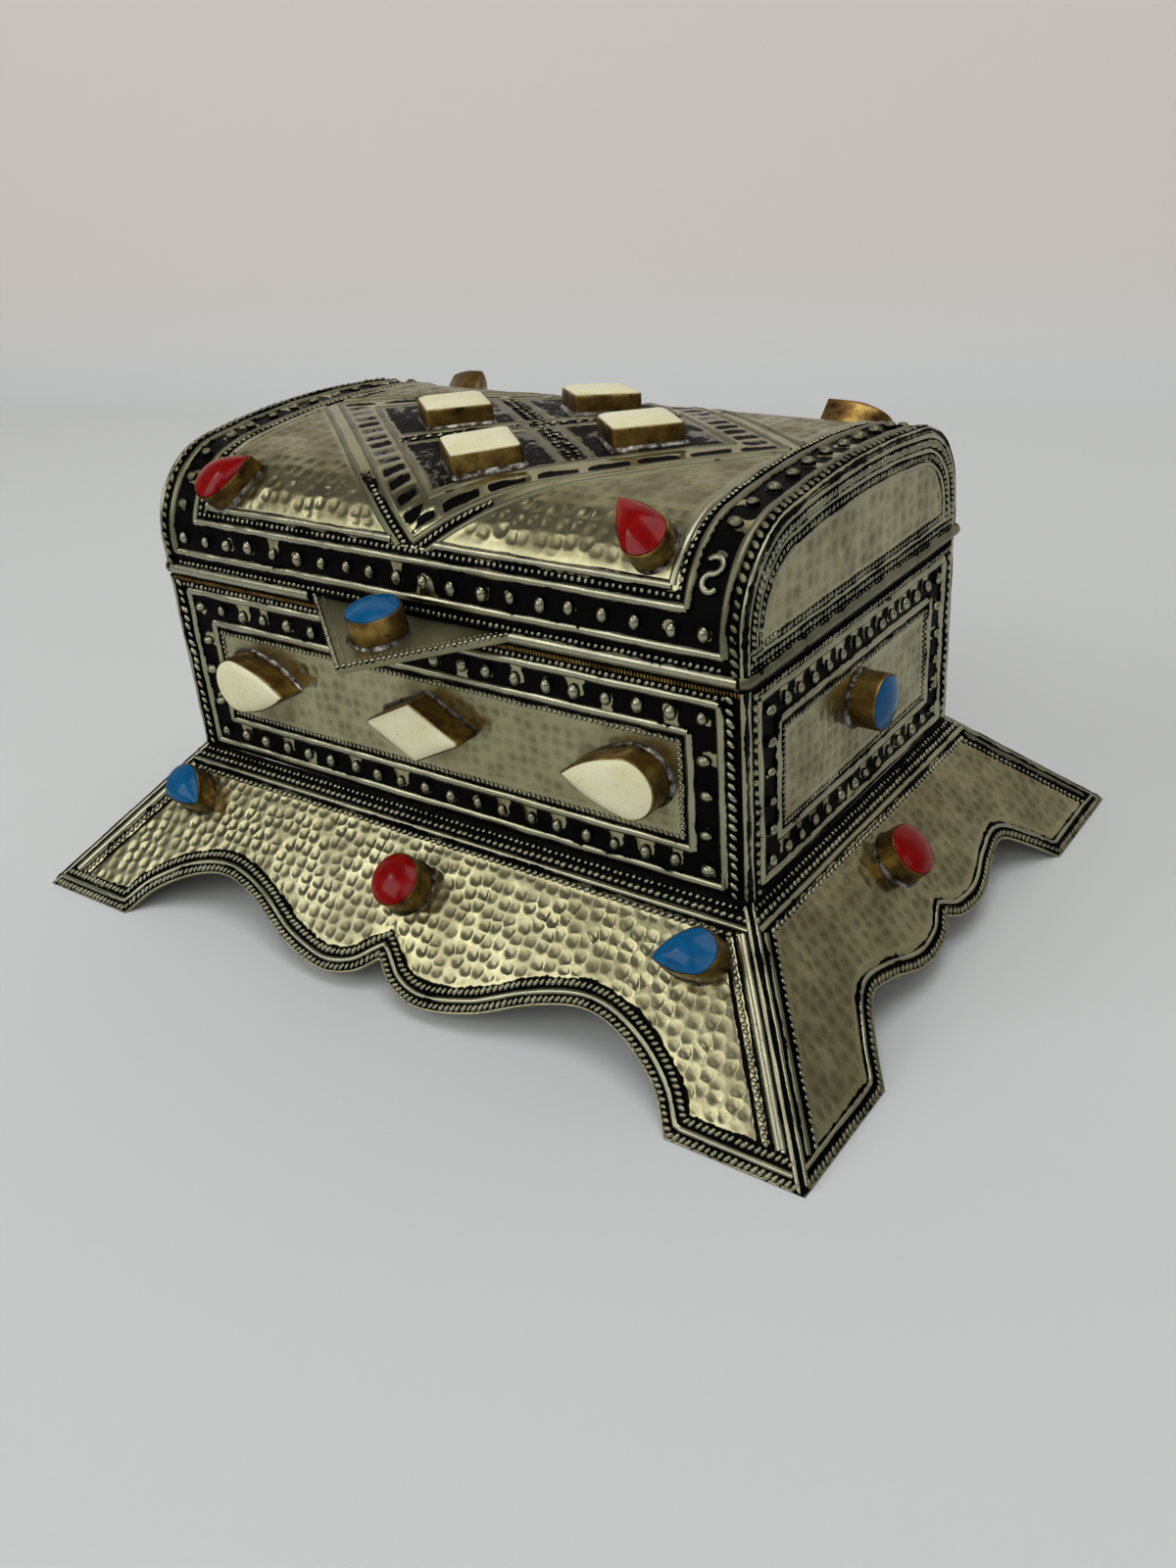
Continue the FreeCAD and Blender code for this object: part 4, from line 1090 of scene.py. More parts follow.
def bead_ground(drawing, rows, tongues):
    """Ground of a bead band: depth of the bowls about the beads, and how much of the black is left.

    Worn tongues stand at the level of the ridges.
    """
    distance = nearest(drawing, np.vstack(rows))
    share = np.clip(distance / BOWL_RADIUS, 0, 1)
    unworn = 1 - worn_away(drawing, tongues)
    bowls = BOWL_DEPTH * (1 - share ** 2) ** 2 * unworn
    halo = HALO_WEAR * (1 - beyond(distance, HALO_RADIUS, WEAR_SOFT))
    return bowls, (1 - halo) * unworn


def stone_stain_and_shade(drawing, stones):
    """Brown round stones, given as (place, radius): flux staining, with painted shadow and a painted
    reflection of the bezel.
    """
    stain_and_shade = np.zeros(len(drawing))
    for place, radius in stones:
        distance = np.linalg.norm(drawing - place, axis=1) - radius
        stain_and_shade = np.maximum(stain_and_shade, 1 - beyond(distance, STAIN_AND_SHADE_REACH / 2, STAIN_AND_SHADE_REACH * 1.5))
    return stain_and_shade


# Box panels: a frame of ridges and beads round a hammered field

PANEL_FRAME_SIDE = 4.5 * MM
PANEL_FRAME_LOW = BODY_BOTTOM + 1.5 * MM
PANEL_FRAME_HIGH = BODY_TOP - 2.9 * MM
PANEL_BEADS_IN = 2.9 * MM
PANEL_RIDGE_IN = 5.8 * MM
PANEL_BLACK_IN = 7.2 * MM
PANEL_SERRATION_IN = 7.6 * MM
PANEL_FIELD_IN = 9.0 * MM
PANEL_ROPE_SIDE = 2.5 * MM
PANEL_ROPE_TOP = 1.5 * MM
PANEL_EDGING_TOP = 0.55 * MM
CORNER_RIDGE_IN = 0.4 * MM
CORNER_STRIP = 1.4 * MM
FRONT_TONGUES = ((0.08, 0.5), (0.05, 0.3), (0.3, 0.12), (0.1, 0.12))
END_TONGUES = ((0.1, 0.7), (0.3, 0.2), (0.95, 0.0), (0.2, 0.2))
PANEL_HAMMER = (2.6 * MM, 0.08 * MM)
PANEL_ROPE_FOOT = 1.0 * MM
CORNER_WEAR = 0.5
# Reach of the brown round the long panels' stones: flux staining and painted shadow
LOZENGE_STAIN_AND_SHADE = 7.0 * MM
BONE_DROP_STAIN_AND_SHADE = 7.5 * MM


def panel(name, seed):
    """One side of the box."""
    side = upright_side(name)
    long_side = name in LONG_SIDES
    half = HALF_LENGTH if long_side else HALF_DEPTH
    cut_half = half if long_side else half - SHEET
    frame_half = half - PANEL_FRAME_SIDE
    frame_sizes = (frame_half, PANEL_FRAME_LOW, PANEL_FRAME_HIGH)
    u = np.linspace(-cut_half, cut_half, steps_for(2 * cut_half, FINE_RELIEF_STEP))
    lower = at_height(u, BODY_BOTTOM)
    upper = at_height(u, BODY_TOP)
    bead_style = BEADS if long_side else END_BEADS
    beads = bead_rows(*frame_sizes, PANEL_BEADS_IN, bead_style)
    tongues = worn_tongues(beads, FRONT_TONGUES if long_side else END_TONGUES, PANEL_BEADS_IN,
                           PANEL_RIDGE_IN - PANEL_BEADS_IN, seed)
    if long_side:
        stones = [((0.0, FRONT_STONE_Z), LOZENGE_STAIN_AND_SHADE)]
        stones += [((x, FRONT_STONE_Z), BONE_DROP_STAIN_AND_SHADE) for x in (BONE_DROP_X, -BONE_DROP_X)]
    else:
        stones = [((0.0, END_STONE_Z), ROUND_RADIUS)]

    def ground(drawing):
        inset = np.minimum(frame_half - np.abs(drawing[:, 0]),
                           np.minimum(drawing[:, 1] - PANEL_FRAME_LOW, PANEL_FRAME_HIGH - drawing[:, 1]))
        bowls, left_black = bead_ground(drawing, beads, tongues)
        black = (1 - beyond(inset, PANEL_BLACK_IN, LINE_SOFT)) * left_black
        if not long_side:
            black *= 1 - CORNER_WEAR * within(cut_half - np.abs(drawing[:, 0]), 0, CORNER_STRIP)
        field = beyond(inset, PANEL_FIELD_IN)
        sunk = GROUND_SINK * (1 - beyond(inset, PANEL_BLACK_IN)) * left_black
        relief = -sunk - bowls * within(inset, BOWL_MARGIN, PANEL_RIDGE_IN - BOWL_MARGIN)
        # Brown round the stones is flux staining and painted shadow
        stain_and_shade = np.maximum(stone_stain_and_shade(drawing, stones), 0.0 if long_side else END_PANEL_STAIN * field)
        return dict(relief=relief, field=field, blacking=black, stain_and_shade=stain_and_shade)

    grid = ruled_grid(lower, upper, steps_for(BODY_TOP - BODY_BOTTOM, FINE_RELIEF_STEP))
    sheet = embossed_sheet("embossed_" + name + "_panel", side, grid, ground, PANEL_HAMMER, seed)

    rope_u = half - PANEL_ROPE_SIDE
    corner_u = cut_half - CORNER_RIDGE_IN
    rope_v = BODY_TOP - PANEL_ROPE_TOP
    edging_v = BODY_TOP - PANEL_EDGING_TOP
    rows = [
        (RIDGE, frame_lines(*frame_sizes, 0.0) + frame_lines(*frame_sizes, PANEL_RIDGE_IN)),
        (bead_style, beads),
        (SERRATION, frame_lines(*frame_sizes, PANEL_SERRATION_IN)),
        (THICK_ROPE, [[(s * rope_u, BODY_BOTTOM + PANEL_ROPE_FOOT), (s * rope_u, rope_v)]
                      for s in (-1, 1)]),
        (FINE_ROPE, [[(-rope_u, rope_v), (rope_u, rope_v)]]),
        (THIN_RIDGE, [[(s * corner_u, BODY_BOTTOM), (s * corner_u, BODY_TOP)] for s in (-1, 1)]),
    ]
    if long_side:
        rows.append((EDGING, [[(-corner_u, edging_v), (corner_u, edging_v)]], BEZEL_BRASS))
    return sheet, beadwork("beadwork_" + name + "_panel", side, rows, seed)


# Skirts: rope borders along the scalloped edge, ridged hips, a hammered field

SKIRT_TOP_DARK_ROPE = 1.2 * MM
SKIRT_TOP_ROPE = 2.7 * MM
SKIRT_TOP_RIDGE = 4.1 * MM
SKIRT_TOP_EDGE_ROPE = 5.7 * MM
SKIRT_TOP_BLACK = 5.2 * MM
SKIRT_TOP_FIELD = 6.5 * MM
FRONT_HIP_LINES = (0.1 * MM, 1.3 * MM, 3.5 * MM, 5.4 * MM)
FRONT_HIP_RIDGE = 0.75 * MM
FRONT_HIP_STRIP = 2.4 * MM
FRONT_HIP_ROPE = 4.4 * MM
FRONT_HIP_FIELD = 5.9 * MM
END_HIP_RIDGES = (0.75 * MM, 2.3 * MM)
END_HIP_ROPE = 4.0 * MM
END_HIP_BLACK = 4.2 * MM
END_HIP_FIELD = 5.0 * MM
BORDER_ROPES = (0.95 * MM, 3.85 * MM)
BORDER_RIDGE = 2.3 * MM
BORDER_BLACK = 5.0 * MM
BORDER_FIELD = 5.3 * MM
END_BORDER_ROPE = 1.0 * MM
END_BORDER_RIDGE = 2.7 * MM
END_BORDER_BLACK = 3.5 * MM
END_BORDER_FIELD = 4.6 * MM
BORDER_EDGE = 0.4 * MM
BORDER_WEAR = 0.92
END_STAIN = 0.5
LONG_STAIN = 0.12
HIP_BRIGHT = 0.9 * MM
END_FIELD = 0.8
HIP_LINE_HALF = 0.35 * MM
HIP_RIDGE_FOOT = 0.2 * MM
END_HIP_RIDGE_FOOT = 0.6 * MM
TOP_HIP_GAP = 1.0 * MM
BORDER_HIP_GAP = 0.8 * MM
FRONT_SKIRT_HAMMER = (2.65 * MM, 0.19 * MM)
END_SKIRT_HAMMER = (2.65 * MM, 0.16 * MM)


def skirt(name, seed):
    """One sloping side under the box."""
    long_side = name in LONG_SIDES
    side = skirt_side(name)
    shape = FRONT_SKIRT if long_side else END_SKIRT
    border_black = BORDER_BLACK if long_side else END_BORDER_BLACK
    border_field = BORDER_FIELD if long_side else END_BORDER_FIELD
    hip_field = FRONT_HIP_FIELD if long_side else END_HIP_FIELD
    step = FINE_RELIEF_STEP if long_side else RELIEF_STEP
    u = np.linspace(-shape.half_foot, shape.half_foot, steps_for(2 * shape.half_foot, step))
    lower = np.column_stack([u, shape.edge(u)])
    upper = at_height(u * shape.half_top / shape.half_foot, shape.slope)
    red_u = 0.0 if long_side else END_SKIRT_RED_ALONG
    stones = [((red_u, SKIRT_RED_UP_SLOPE), ROUND_RADIUS)]
    if long_side:
        blue_u, blue_v = BLUE_DROP_PLACES[name]
        stones += [((blue_u, blue_v), BLUE_DROP[1] / 2), ((-blue_u, blue_v), BLUE_DROP[1] / 2)]

    def ground(drawing):
        edge = shape.from_edge(drawing)
        hip = shape.from_hip(drawing)
        top = shape.slope - drawing[:, 1]
        hem = BORDER_WEAR * beyond(edge, BORDER_EDGE) * (1 - beyond(edge, border_black, WEAR_SOFT))
        hem *= beyond(hip, HIP_BRIGHT)
        black = np.maximum(hem, 1 - beyond(top, SKIRT_TOP_BLACK, WEAR_SOFT))
        if long_side:
            for line in FRONT_HIP_LINES:
                drawn = within(hip, line - HIP_LINE_HALF, line + HIP_LINE_HALF, LINE_SOFT)
                black = np.maximum(black, drawn)
        else:
            beside_hip = 1 - beyond(hip, END_HIP_BLACK, WEAR_SOFT)
            black = np.maximum(black, beyond(edge, BORDER_EDGE) * beside_hip)
        field = beyond(edge, border_field) * beyond(hip, hip_field) * beyond(top, SKIRT_TOP_FIELD)
        field *= 1.0 if long_side else END_FIELD
        edge_fade = np.clip(edge / EDGE_FADE, 0, 1) * np.clip(top / EDGE_FADE, 0, 1)
        # Brown round the stones is flux staining and painted shadow
        stain_and_shade = np.maximum(stone_stain_and_shade(drawing, stones), (LONG_STAIN if long_side else END_STAIN) * field)
        return dict(relief=-GROUND_SINK * black * edge_fade, field=field, blacking=black, stain_and_shade=stain_and_shade)

    grid = ruled_grid(lower, upper, steps_for(shape.slope, step))
    hammer = FRONT_SKIRT_HAMMER if long_side else END_SKIRT_HAMMER
    sheet = embossed_sheet("embossed_" + name + "_skirt", side, grid, ground, hammer, seed)

    top = shape.slope
    rope_in = FRONT_HIP_ROPE if long_side else END_HIP_ROPE
    rope_top = top - SKIRT_TOP_EDGE_ROPE

    def hips(inset, low, high):
        return [shape.hip_line(s, inset, low, high) for s in (-1, 1)]

    rows = [
        (DARK_ROPE, [shape.level_line(top - SKIRT_TOP_DARK_ROPE, TOP_HIP_GAP)]),
        (DARK_RIDGE, [shape.level_line(top - SKIRT_TOP_RIDGE, TOP_HIP_GAP)]),
        (BRIGHT_ROPE, [shape.level_line(top - SKIRT_TOP_ROPE, TOP_HIP_GAP),
                       shape.level_line(rope_top, rope_in)]),
        (FINE_ROPE, hips(rope_in, border_black, rope_top)),
    ]
    if long_side:
        rows += [
            (ROPE, [shape.border_line(inset, BORDER_HIP_GAP) for inset in BORDER_ROPES]),
            (HEM_RIDGE, [shape.border_line(BORDER_RIDGE, BORDER_HIP_GAP)]),
            (THIN_RIDGE, hips(FRONT_HIP_RIDGE, HIP_RIDGE_FOOT, top)),
            (HIP_STRIP, hips(FRONT_HIP_STRIP, border_black, top - SKIRT_TOP_BLACK)),
        ]
    else:
        rows += [
            (ROPE, [shape.border_line(END_BORDER_ROPE, BORDER_HIP_GAP)], DULL_AND_SHADED_SILVER),
            (THIN_RIDGE, [shape.border_line(END_BORDER_RIDGE, BORDER_HIP_GAP)]
             + hips(END_HIP_RIDGES[0], END_HIP_RIDGE_FOOT, top)),
            (DARK_RIDGE, hips(END_HIP_RIDGES[1], border_black, top - SKIRT_TOP_BLACK), DULL_AND_SHADED_SILVER),
        ]
    return sheet, beadwork("beadwork_" + name + "_skirt", side, rows, seed)


# Vault: a frame round the whole sheet, a diamond on the crown and four hammered corners

VAULT_FRAME_SIDE = 3.4 * MM
VAULT_FRAME_LOW = 4.7 * MM
VAULT_BEADS_IN = 3.3 * MM
VAULT_RIDGE_IN = 6.6 * MM
VAULT_DOTS_IN = 8.2 * MM
VAULT_FIELD_RIDGE_IN = 9.7 * MM
VAULT_BLACK_IN = VAULT_DOTS_IN + 0.6 * MM
VAULT_LINES_IN = VAULT_FIELD_RIDGE_IN - 1.2 * MM
VAULT_DIAMOND_IN = VAULT_FIELD_RIDGE_IN - 1.0 * MM
VAULT_FIELD_IN = VAULT_FIELD_RIDGE_IN + 1.6 * MM
VAULT_EDGE_FADE = 0.8 * MM
VAULT_HAMMER = (2.9 * MM, 0.25 * MM)
ARCH_FOOT = 0.8 * MM
LOW_ROPE_GAP = 0.8 * MM
VAULT_ROPE_LOW = 2.6 * MM
VAULT_ROPE_SIDE = 1.5 * MM
VAULT_ARRIS_SIDE = 0.4 * MM
VAULT_TONGUES = ((0.05, 0.25), (0.3, 0.2), (0.05, 0.25), (0.15, 0.15))
SCROLL_RADIUS = 1.35 * MM
DIAMOND_HALF_WIDTH = 51.5 * MM
DIAMOND_FRONT = 14.5 * MM
DIAMOND_RIDGES = (3.0 * MM, 0.0)
DIAMOND_FIELD = DIAMOND_RIDGES[0] + 1.2 * MM
DIAMOND_ROPE_GROUND = (0.3 * MM, DIAMOND_RIDGES[0] - 0.3 * MM)
DIAMOND_BAND = -6.4 * MM
DIAMOND_ROPE = 1.5 * MM
LADDER = (-5.2 * MM, -1.0 * MM)
LADDER_PITCH = 4.6 * MM
LADDER_CELL = 0.62
DASHES = (-3.6 * MM, -1.4 * MM)
DASH_PITCH = 8.5 * MM
DASH_CELL = 0.8
DIAMOND_INNER = -7.4 * MM
LATTICE_LINES = (2.0 * MM, 3.3 * MM)
APEX_WEAR = 4.5 * MM
APEX_ROPE_REACH = 16.0 * MM
ROPE_WEAR = 0.85
LADDER_WEAR = 0.3
LADDER_BLACK = 0.9
APEX_BLACK = 0.6
CELL_SOFT = 0.8 * MM
CROSS_MARKS = 0.7 * MM
VAULT_STAIN = 0.55
DIAMOND_BLACK = 0.62


class Diamond:
    """Diamond on the crown, in the vault's drawing."""

    def __init__(self):
        self.half_width = DIAMOND_HALF_WIDTH
        self.half_height = VAULT.half - DIAMOND_FRONT
        self.side = math.hypot(self.half_width, self.half_height)
        self.depth = self.half_width * self.half_height / self.side

    def outside(self, drawing):
        """Distance outside the diamond's edge, negative inside it."""
        x = np.abs(drawing[:, 0]) / self.half_width
        y = np.abs(drawing[:, 1] - VAULT.half) / self.half_height
        return (x + y - 1) * self.depth

    def along(self, drawing):
        """Distance along an edge from a side corner."""
        x = self.half_width - np.abs(drawing[:, 0])
        y = np.abs(drawing[:, 1] - VAULT.half)
        return (x * self.half_width + y * self.half_height) / self.side

    def from_apex(self, drawing):
        """Distance from the front or the back corner."""
        return np.hypot(drawing[:, 0], np.abs(drawing[:, 1] - VAULT.half) - self.half_height)

    def from_cross(self, drawing):
        """Distance from the two strips that cross in the middle."""
        x = drawing[:, 0] / self.half_width
        y = (drawing[:, 1] - VAULT.half) / self.half_height
        return np.minimum(np.abs(x + y), np.abs(x - y)) * self.depth

    def edge_lines(self, outside, clip):
        """The four edges at a distance outside the diamond, where clip keeps them."""
        grow = 1 + outside / self.depth
        corners = [(self.half_width * grow, 0), (0, self.half_height * grow),
                   (-self.half_width * grow, 0), (0, -self.half_height * grow)]
        lines = []
        for start, end in zip(corners, corners[1:] + corners[:1]):
            line = divided([start, end]) + (0, VAULT.half)
            line = line[clip(line)]
            if len(line) > 1:
                lines.append(line)
        return lines

    def cross_lines(self, aside):
        """Two lines on each crossing strip, to both sides of its middle, inside the diamond."""
        reach = (1 + DIAMOND_INNER / self.depth) / 2
        lines = []
        for s in (-1, 1):
            direction = np.array((self.half_width, s * self.half_height))
            beside = np.array((-direction[1], direction[0])) / self.side * aside
            for t in (-1, 1):
                lines.append(divided([t * beside - direction * reach, t * beside + direction * reach])
                             + (0, VAULT.half))
        return lines


def divided(line):
    """Straight line of a drawing as many short runs, so that it can follow the vault."""
    share = np.linspace(0, 1, 160)[:, None]
    return np.array(line[0]) * (1 - share) + np.array(line[1]) * share


DIAMOND = Diamond()


def corner_scroll(middle):
    """S-shaped curl that stands for two beads of a row across the lid."""
    angle = np.radians(np.linspace(-90, 150, 25))
    upper = SCROLL_RADIUS * np.column_stack([np.cos(angle), np.sin(angle) + 1])
    return np.vstack([-upper[:0:-1], upper]) + middle


def vault_inset(drawing):
    """Distance in from the vault's outer ridge."""
    side = HALF_LENGTH - VAULT_FRAME_SIDE - np.abs(drawing[:, 0])
    low = VAULT.half - np.abs(drawing[:, 1] - VAULT.half) - VAULT_FRAME_LOW
    return np.minimum(side, low)


def cells(along, pitch, share):
    """1 in the punched part of each pitch, with soft ends."""
    place = np.mod(along / pitch, 1.0)
    return np.clip((share / 2 - np.abs(place - 0.5)) * pitch / WEAR_SOFT + 0.5, 0, 1)


def diamond_ground(drawing):
    """Black and tarnish of the diamond: rope ground, ladder, dashes, the panels under the tablets."""
    outside = DIAMOND.outside(drawing)
    along = DIAMOND.along(drawing)
    from_apex = DIAMOND.from_apex(drawing)
    rope = within(outside, *DIAMOND_ROPE_GROUND, WEAR_SOFT)
    ladder = within(outside, *LADDER, CELL_SOFT) * cells(along, LADDER_PITCH, LADDER_CELL)
    dashes = within(outside, *DASHES, CELL_SOFT) * cells(along, DASH_PITCH, DASH_CELL)
    with_ladder = drawing[:, 0] * (drawing[:, 1] - VAULT.half) > 0
    faded = beyond(from_apex, APEX_ROPE_REACH, APEX_ROPE_REACH)
    edging = np.where(with_ladder, ladder * (LADDER_BLACK - LADDER_WEAR * faded), dashes)
    cross = DIAMOND.from_cross(drawing)
    inner = (1 - beyond(outside, DIAMOND_INNER, WEAR_SOFT)) * (1 - within(cross, *LATTICE_LINES, LINE_SOFT))
    apex = APEX_BLACK * (1 - beyond(from_apex, APEX_WEAR, APEX_WEAR))
    rope *= 1 - ROPE_WEAR * faded
    black = np.maximum(np.maximum(rope, edging), np.maximum(DIAMOND_BLACK * inner, apex))
    tarnish = np.maximum(np.where(with_ladder, ladder, 0.0), inner)
    return black, tarnish


def up_shoulder(angle):
    """How far up the vault its shoulder reaches an angle."""
    return LID_SIDE + SHOULDER_RADIUS * angle


def vault():
    """The lid's vaulted sheet with its rows."""
    frame_half = HALF_LENGTH - VAULT_FRAME_SIDE
    far_edge = 2 * VAULT.half
    frame_sizes = (frame_half, VAULT_FRAME_LOW, far_edge - VAULT_FRAME_LOW)
    beads = bead_rows(*frame_sizes, VAULT_BEADS_IN, BEADS)
    tongues = worn_tongues(beads, VAULT_TONGUES, VAULT_BEADS_IN, VAULT_RIDGE_IN - VAULT_BEADS_IN, VAULT_SEED)
    drop_radius = RED_DROP[1] / 2
    stones = [((x, up_shoulder(angle)), drop_radius) for x, angle, rim in FRONT_RED_DROPS]
    stones += [((-x, far_edge - up_shoulder(angle)), drop_radius) for x, angle, rim in BACK_RED_DROPS]

    def ground(drawing):
        inset = vault_inset(drawing)
        bowls, left_black = bead_ground(drawing, beads, tongues)
        frame_black = (1 - beyond(inset, VAULT_BLACK_IN, WEAR_SOFT)) * left_black
        in_frame = beyond(inset, VAULT_DIAMOND_IN)
        diamond, tarnish = diamond_ground(drawing)
        black = np.maximum(frame_black, in_frame * diamond)
        field = beyond(inset, VAULT_FIELD_IN) * beyond(DIAMOND.outside(drawing), DIAMOND_FIELD)
        edge = np.clip((inset + VAULT_FRAME_SIDE) / VAULT_EDGE_FADE, 0, 1)
        bowls = bowls * within(inset, BOWL_MARGIN, VAULT_RIDGE_IN - BOWL_MARGIN)
        # Brown round the red drops is flux staining and painted shadow
        stain_and_shade = np.maximum(stone_stain_and_shade(drawing, stones), VAULT_STAIN * field)
        relief = -GROUND_SINK * black * edge - bowls
        return dict(relief=relief, field=field, blacking=black, stain_and_shade=stain_and_shade, tarnish=in_frame * tarnish)

    u = np.linspace(-HALF_LENGTH, HALF_LENGTH, steps_for(2 * HALF_LENGTH))
    grid = ruled_grid(at_height(u, 0.0), at_height(u, far_edge), steps_for(far_edge))
    sheet = embossed_sheet("embossed_lid_vault", VAULT, grid, ground, VAULT_HAMMER, VAULT_SEED)

    def framed(inset):
        return [divided(line) for line in frame_lines(*frame_sizes, inset)]

    def in_frame(line):
        return vault_inset(line) > VAULT_LINES_IN

    def near_apex(line):
        return in_frame(line) & (DIAMOND.from_apex(line) < APEX_ROPE_REACH)

    def arch(inset):
        reach = HALF_LENGTH - inset
        return [divided([(s * reach, ARCH_FOOT), (s * reach, far_edge - ARCH_FOOT)]) for s in (-1, 1)]

    field_ridge = []
    for line in framed(VAULT_FIELD_RIDGE_IN):
        for part in np.array_split(line, 2):
            part = part[DIAMOND.outside(part) > DIAMOND_RIDGES[0]]
            if len(part) > 1:
                field_ridge.append(part)
    ridges_in = (0.0, VAULT_RIDGE_IN)
    rope_half = frame_half - LOW_ROPE_GAP
    low_ropes = [divided([(-rope_half, v), (rope_half, v)])
                 for v in (VAULT_ROPE_LOW, far_edge - VAULT_ROPE_LOW)]
    front, right, back, left = beads
    long_runs = [(front[0], right[0]), (back[0], left[0])]
    side_runs = [(right[3], right[-1]), (left[3], left[-1])]
    diamond_ridges = [line for outside in DIAMOND_RIDGES for line in DIAMOND.edge_lines(outside, in_frame)]
    flat_bands = DIAMOND.edge_lines(DIAMOND_BAND, in_frame) + DIAMOND.cross_lines(sum(LATTICE_LINES) / 2)
    # The frame's ridges and beads along the vault's ends, and the arch ropes, take the darker silver as
    # painted shade; the diamond's ridges and bands take it too
    rows = [
        (RIDGE, [line for inset in ridges_in for line in framed(inset)[0::2]] + field_ridge),
        (RIDGE, [line for inset in ridges_in for line in framed(inset)[1::2]], DULL_AND_SHADED_SILVER),
        (BEADS, [divided(run) for run in long_runs]),
        (BEADS, [divided(run) for run in side_runs], DULL_AND_SHADED_SILVER),
        (SCROLL, [corner_scroll((row[1] + row[2]) / 2) for row in (right, left)]),
        (DOTS, framed(VAULT_DOTS_IN)),
        (THIN_RIDGE, arch(VAULT_ARRIS_SIDE)),
        (SOFT_RIDGE, diamond_ridges, DULL_AND_SHADED_SILVER),
        (FLAT_BAND, flat_bands, DULL_AND_SHADED_SILVER),
        (FINE_ROPE, low_ropes + DIAMOND.edge_lines(DIAMOND_ROPE, near_apex)),
        (MARKS, DIAMOND.cross_lines(CROSS_MARKS)),
        (THICK_ROPE, arch(VAULT_ROPE_SIDE), DULL_AND_SHADED_SILVER),
    ]
    return sheet, beadwork("beadwork_lid_vault", VAULT, rows, VAULT_SEED)


# Lid ends: ropes that follow the arch, and a hammered field

LID_END_ROPE = 2.4 * MM
LID_END_FINE_ROPE = 4.7 * MM
LID_END_RIDGES = (1.1 * MM, 3.6 * MM, 5.9 * MM)
LID_END_FOOT_ROPES = (2.1 * MM, 3.3 * MM)
LID_END_FOOT_FINE_ROPE = 5.5 * MM
LID_END_FOOT_RIDGES = (1.0 * MM, 4.4 * MM)
LID_END_FIELD_IN = 6.8 * MM
LID_END_BLACK_IN = 5.3 * MM
LID_END_FOOT_GAP = 0.8 * MM
LID_END_HAMMER = (3.2 * MM, 0.18 * MM)


def arch_curve(inset, low):
    """Arch of a lid end in its drawing, from foot to foot, at a distance in from the vault's outside."""
    v = np.linspace(low, 2 * VAULT.half - low, 240)
    points, outward = VAULT.place(np.column_stack([np.zeros_like(v), v]))
    points = points - outward * inset
    return points[:, 1:]


def lid_end(name, seed):
    """End panel under the vault. The left one's drawing runs the other way, and the arch is even."""
    side = upright_side(name)
    upper = arch_curve(SHEET, LID_SIDE)
    u = np.linspace(upper[0, 0], upper[-1, 0], len(upper))
    lower = at_height(u, LID_BOTTOM)

    def ground(drawing):
        arch = nearest(drawing, arch_curve(0.0, 0.0))
        foot = drawing[:, 1] - LID_BOTTOM
        black = 1 - beyond(np.minimum(arch, foot), LID_END_BLACK_IN, WEAR_SOFT)
        field = beyond(np.minimum(arch, foot), LID_END_FIELD_IN)
        edge = np.clip((arch - SHEET) / EDGE_FADE, 0, 1) * np.clip(foot / EDGE_FADE, 0, 1)
        return dict(relief=-GROUND_SINK * black * edge, field=field, blacking=black,
                    stain_and_shade=END_PANEL_STAIN * field)

    grid = ruled_grid(lower, upper, steps_for(LID_TOP - LID_BOTTOM))
    sheet = embossed_sheet("embossed_lid_" + name + "_panel", side, grid, ground, LID_END_HAMMER, seed)

    def arch_row(inset):
        return arch_curve(inset, LID_END_FOOT_RIDGES[0] if inset < LID_END_ROPE else LID_END_FOOT_RIDGES[1])

    def foot_row(height):
        reach = HALF_DEPTH - LID_END_RIDGES[0] - LID_END_FOOT_GAP
        return [(-reach, LID_BOTTOM + height), (reach, LID_BOTTOM + height)]

    rows = [
        (ROPE, [arch_row(LID_END_ROPE)]),
        (FINE_ROPE, [arch_row(LID_END_FINE_ROPE)]
         + [foot_row(height) for height in (*LID_END_FOOT_ROPES, LID_END_FOOT_FINE_ROPE)]),
        (THIN_RIDGE, [arch_row(inset) for inset in LID_END_RIDGES]
         + [foot_row(height) for height in LID_END_FOOT_RIDGES]),
    ]
    return sheet, beadwork("beadwork_lid_" + name + "_panel", side, rows, seed)


# Rim wire of the lid

WIRE_BEND = 0.9 * MM
WIRE_TO_TAB = 0.4 * MM


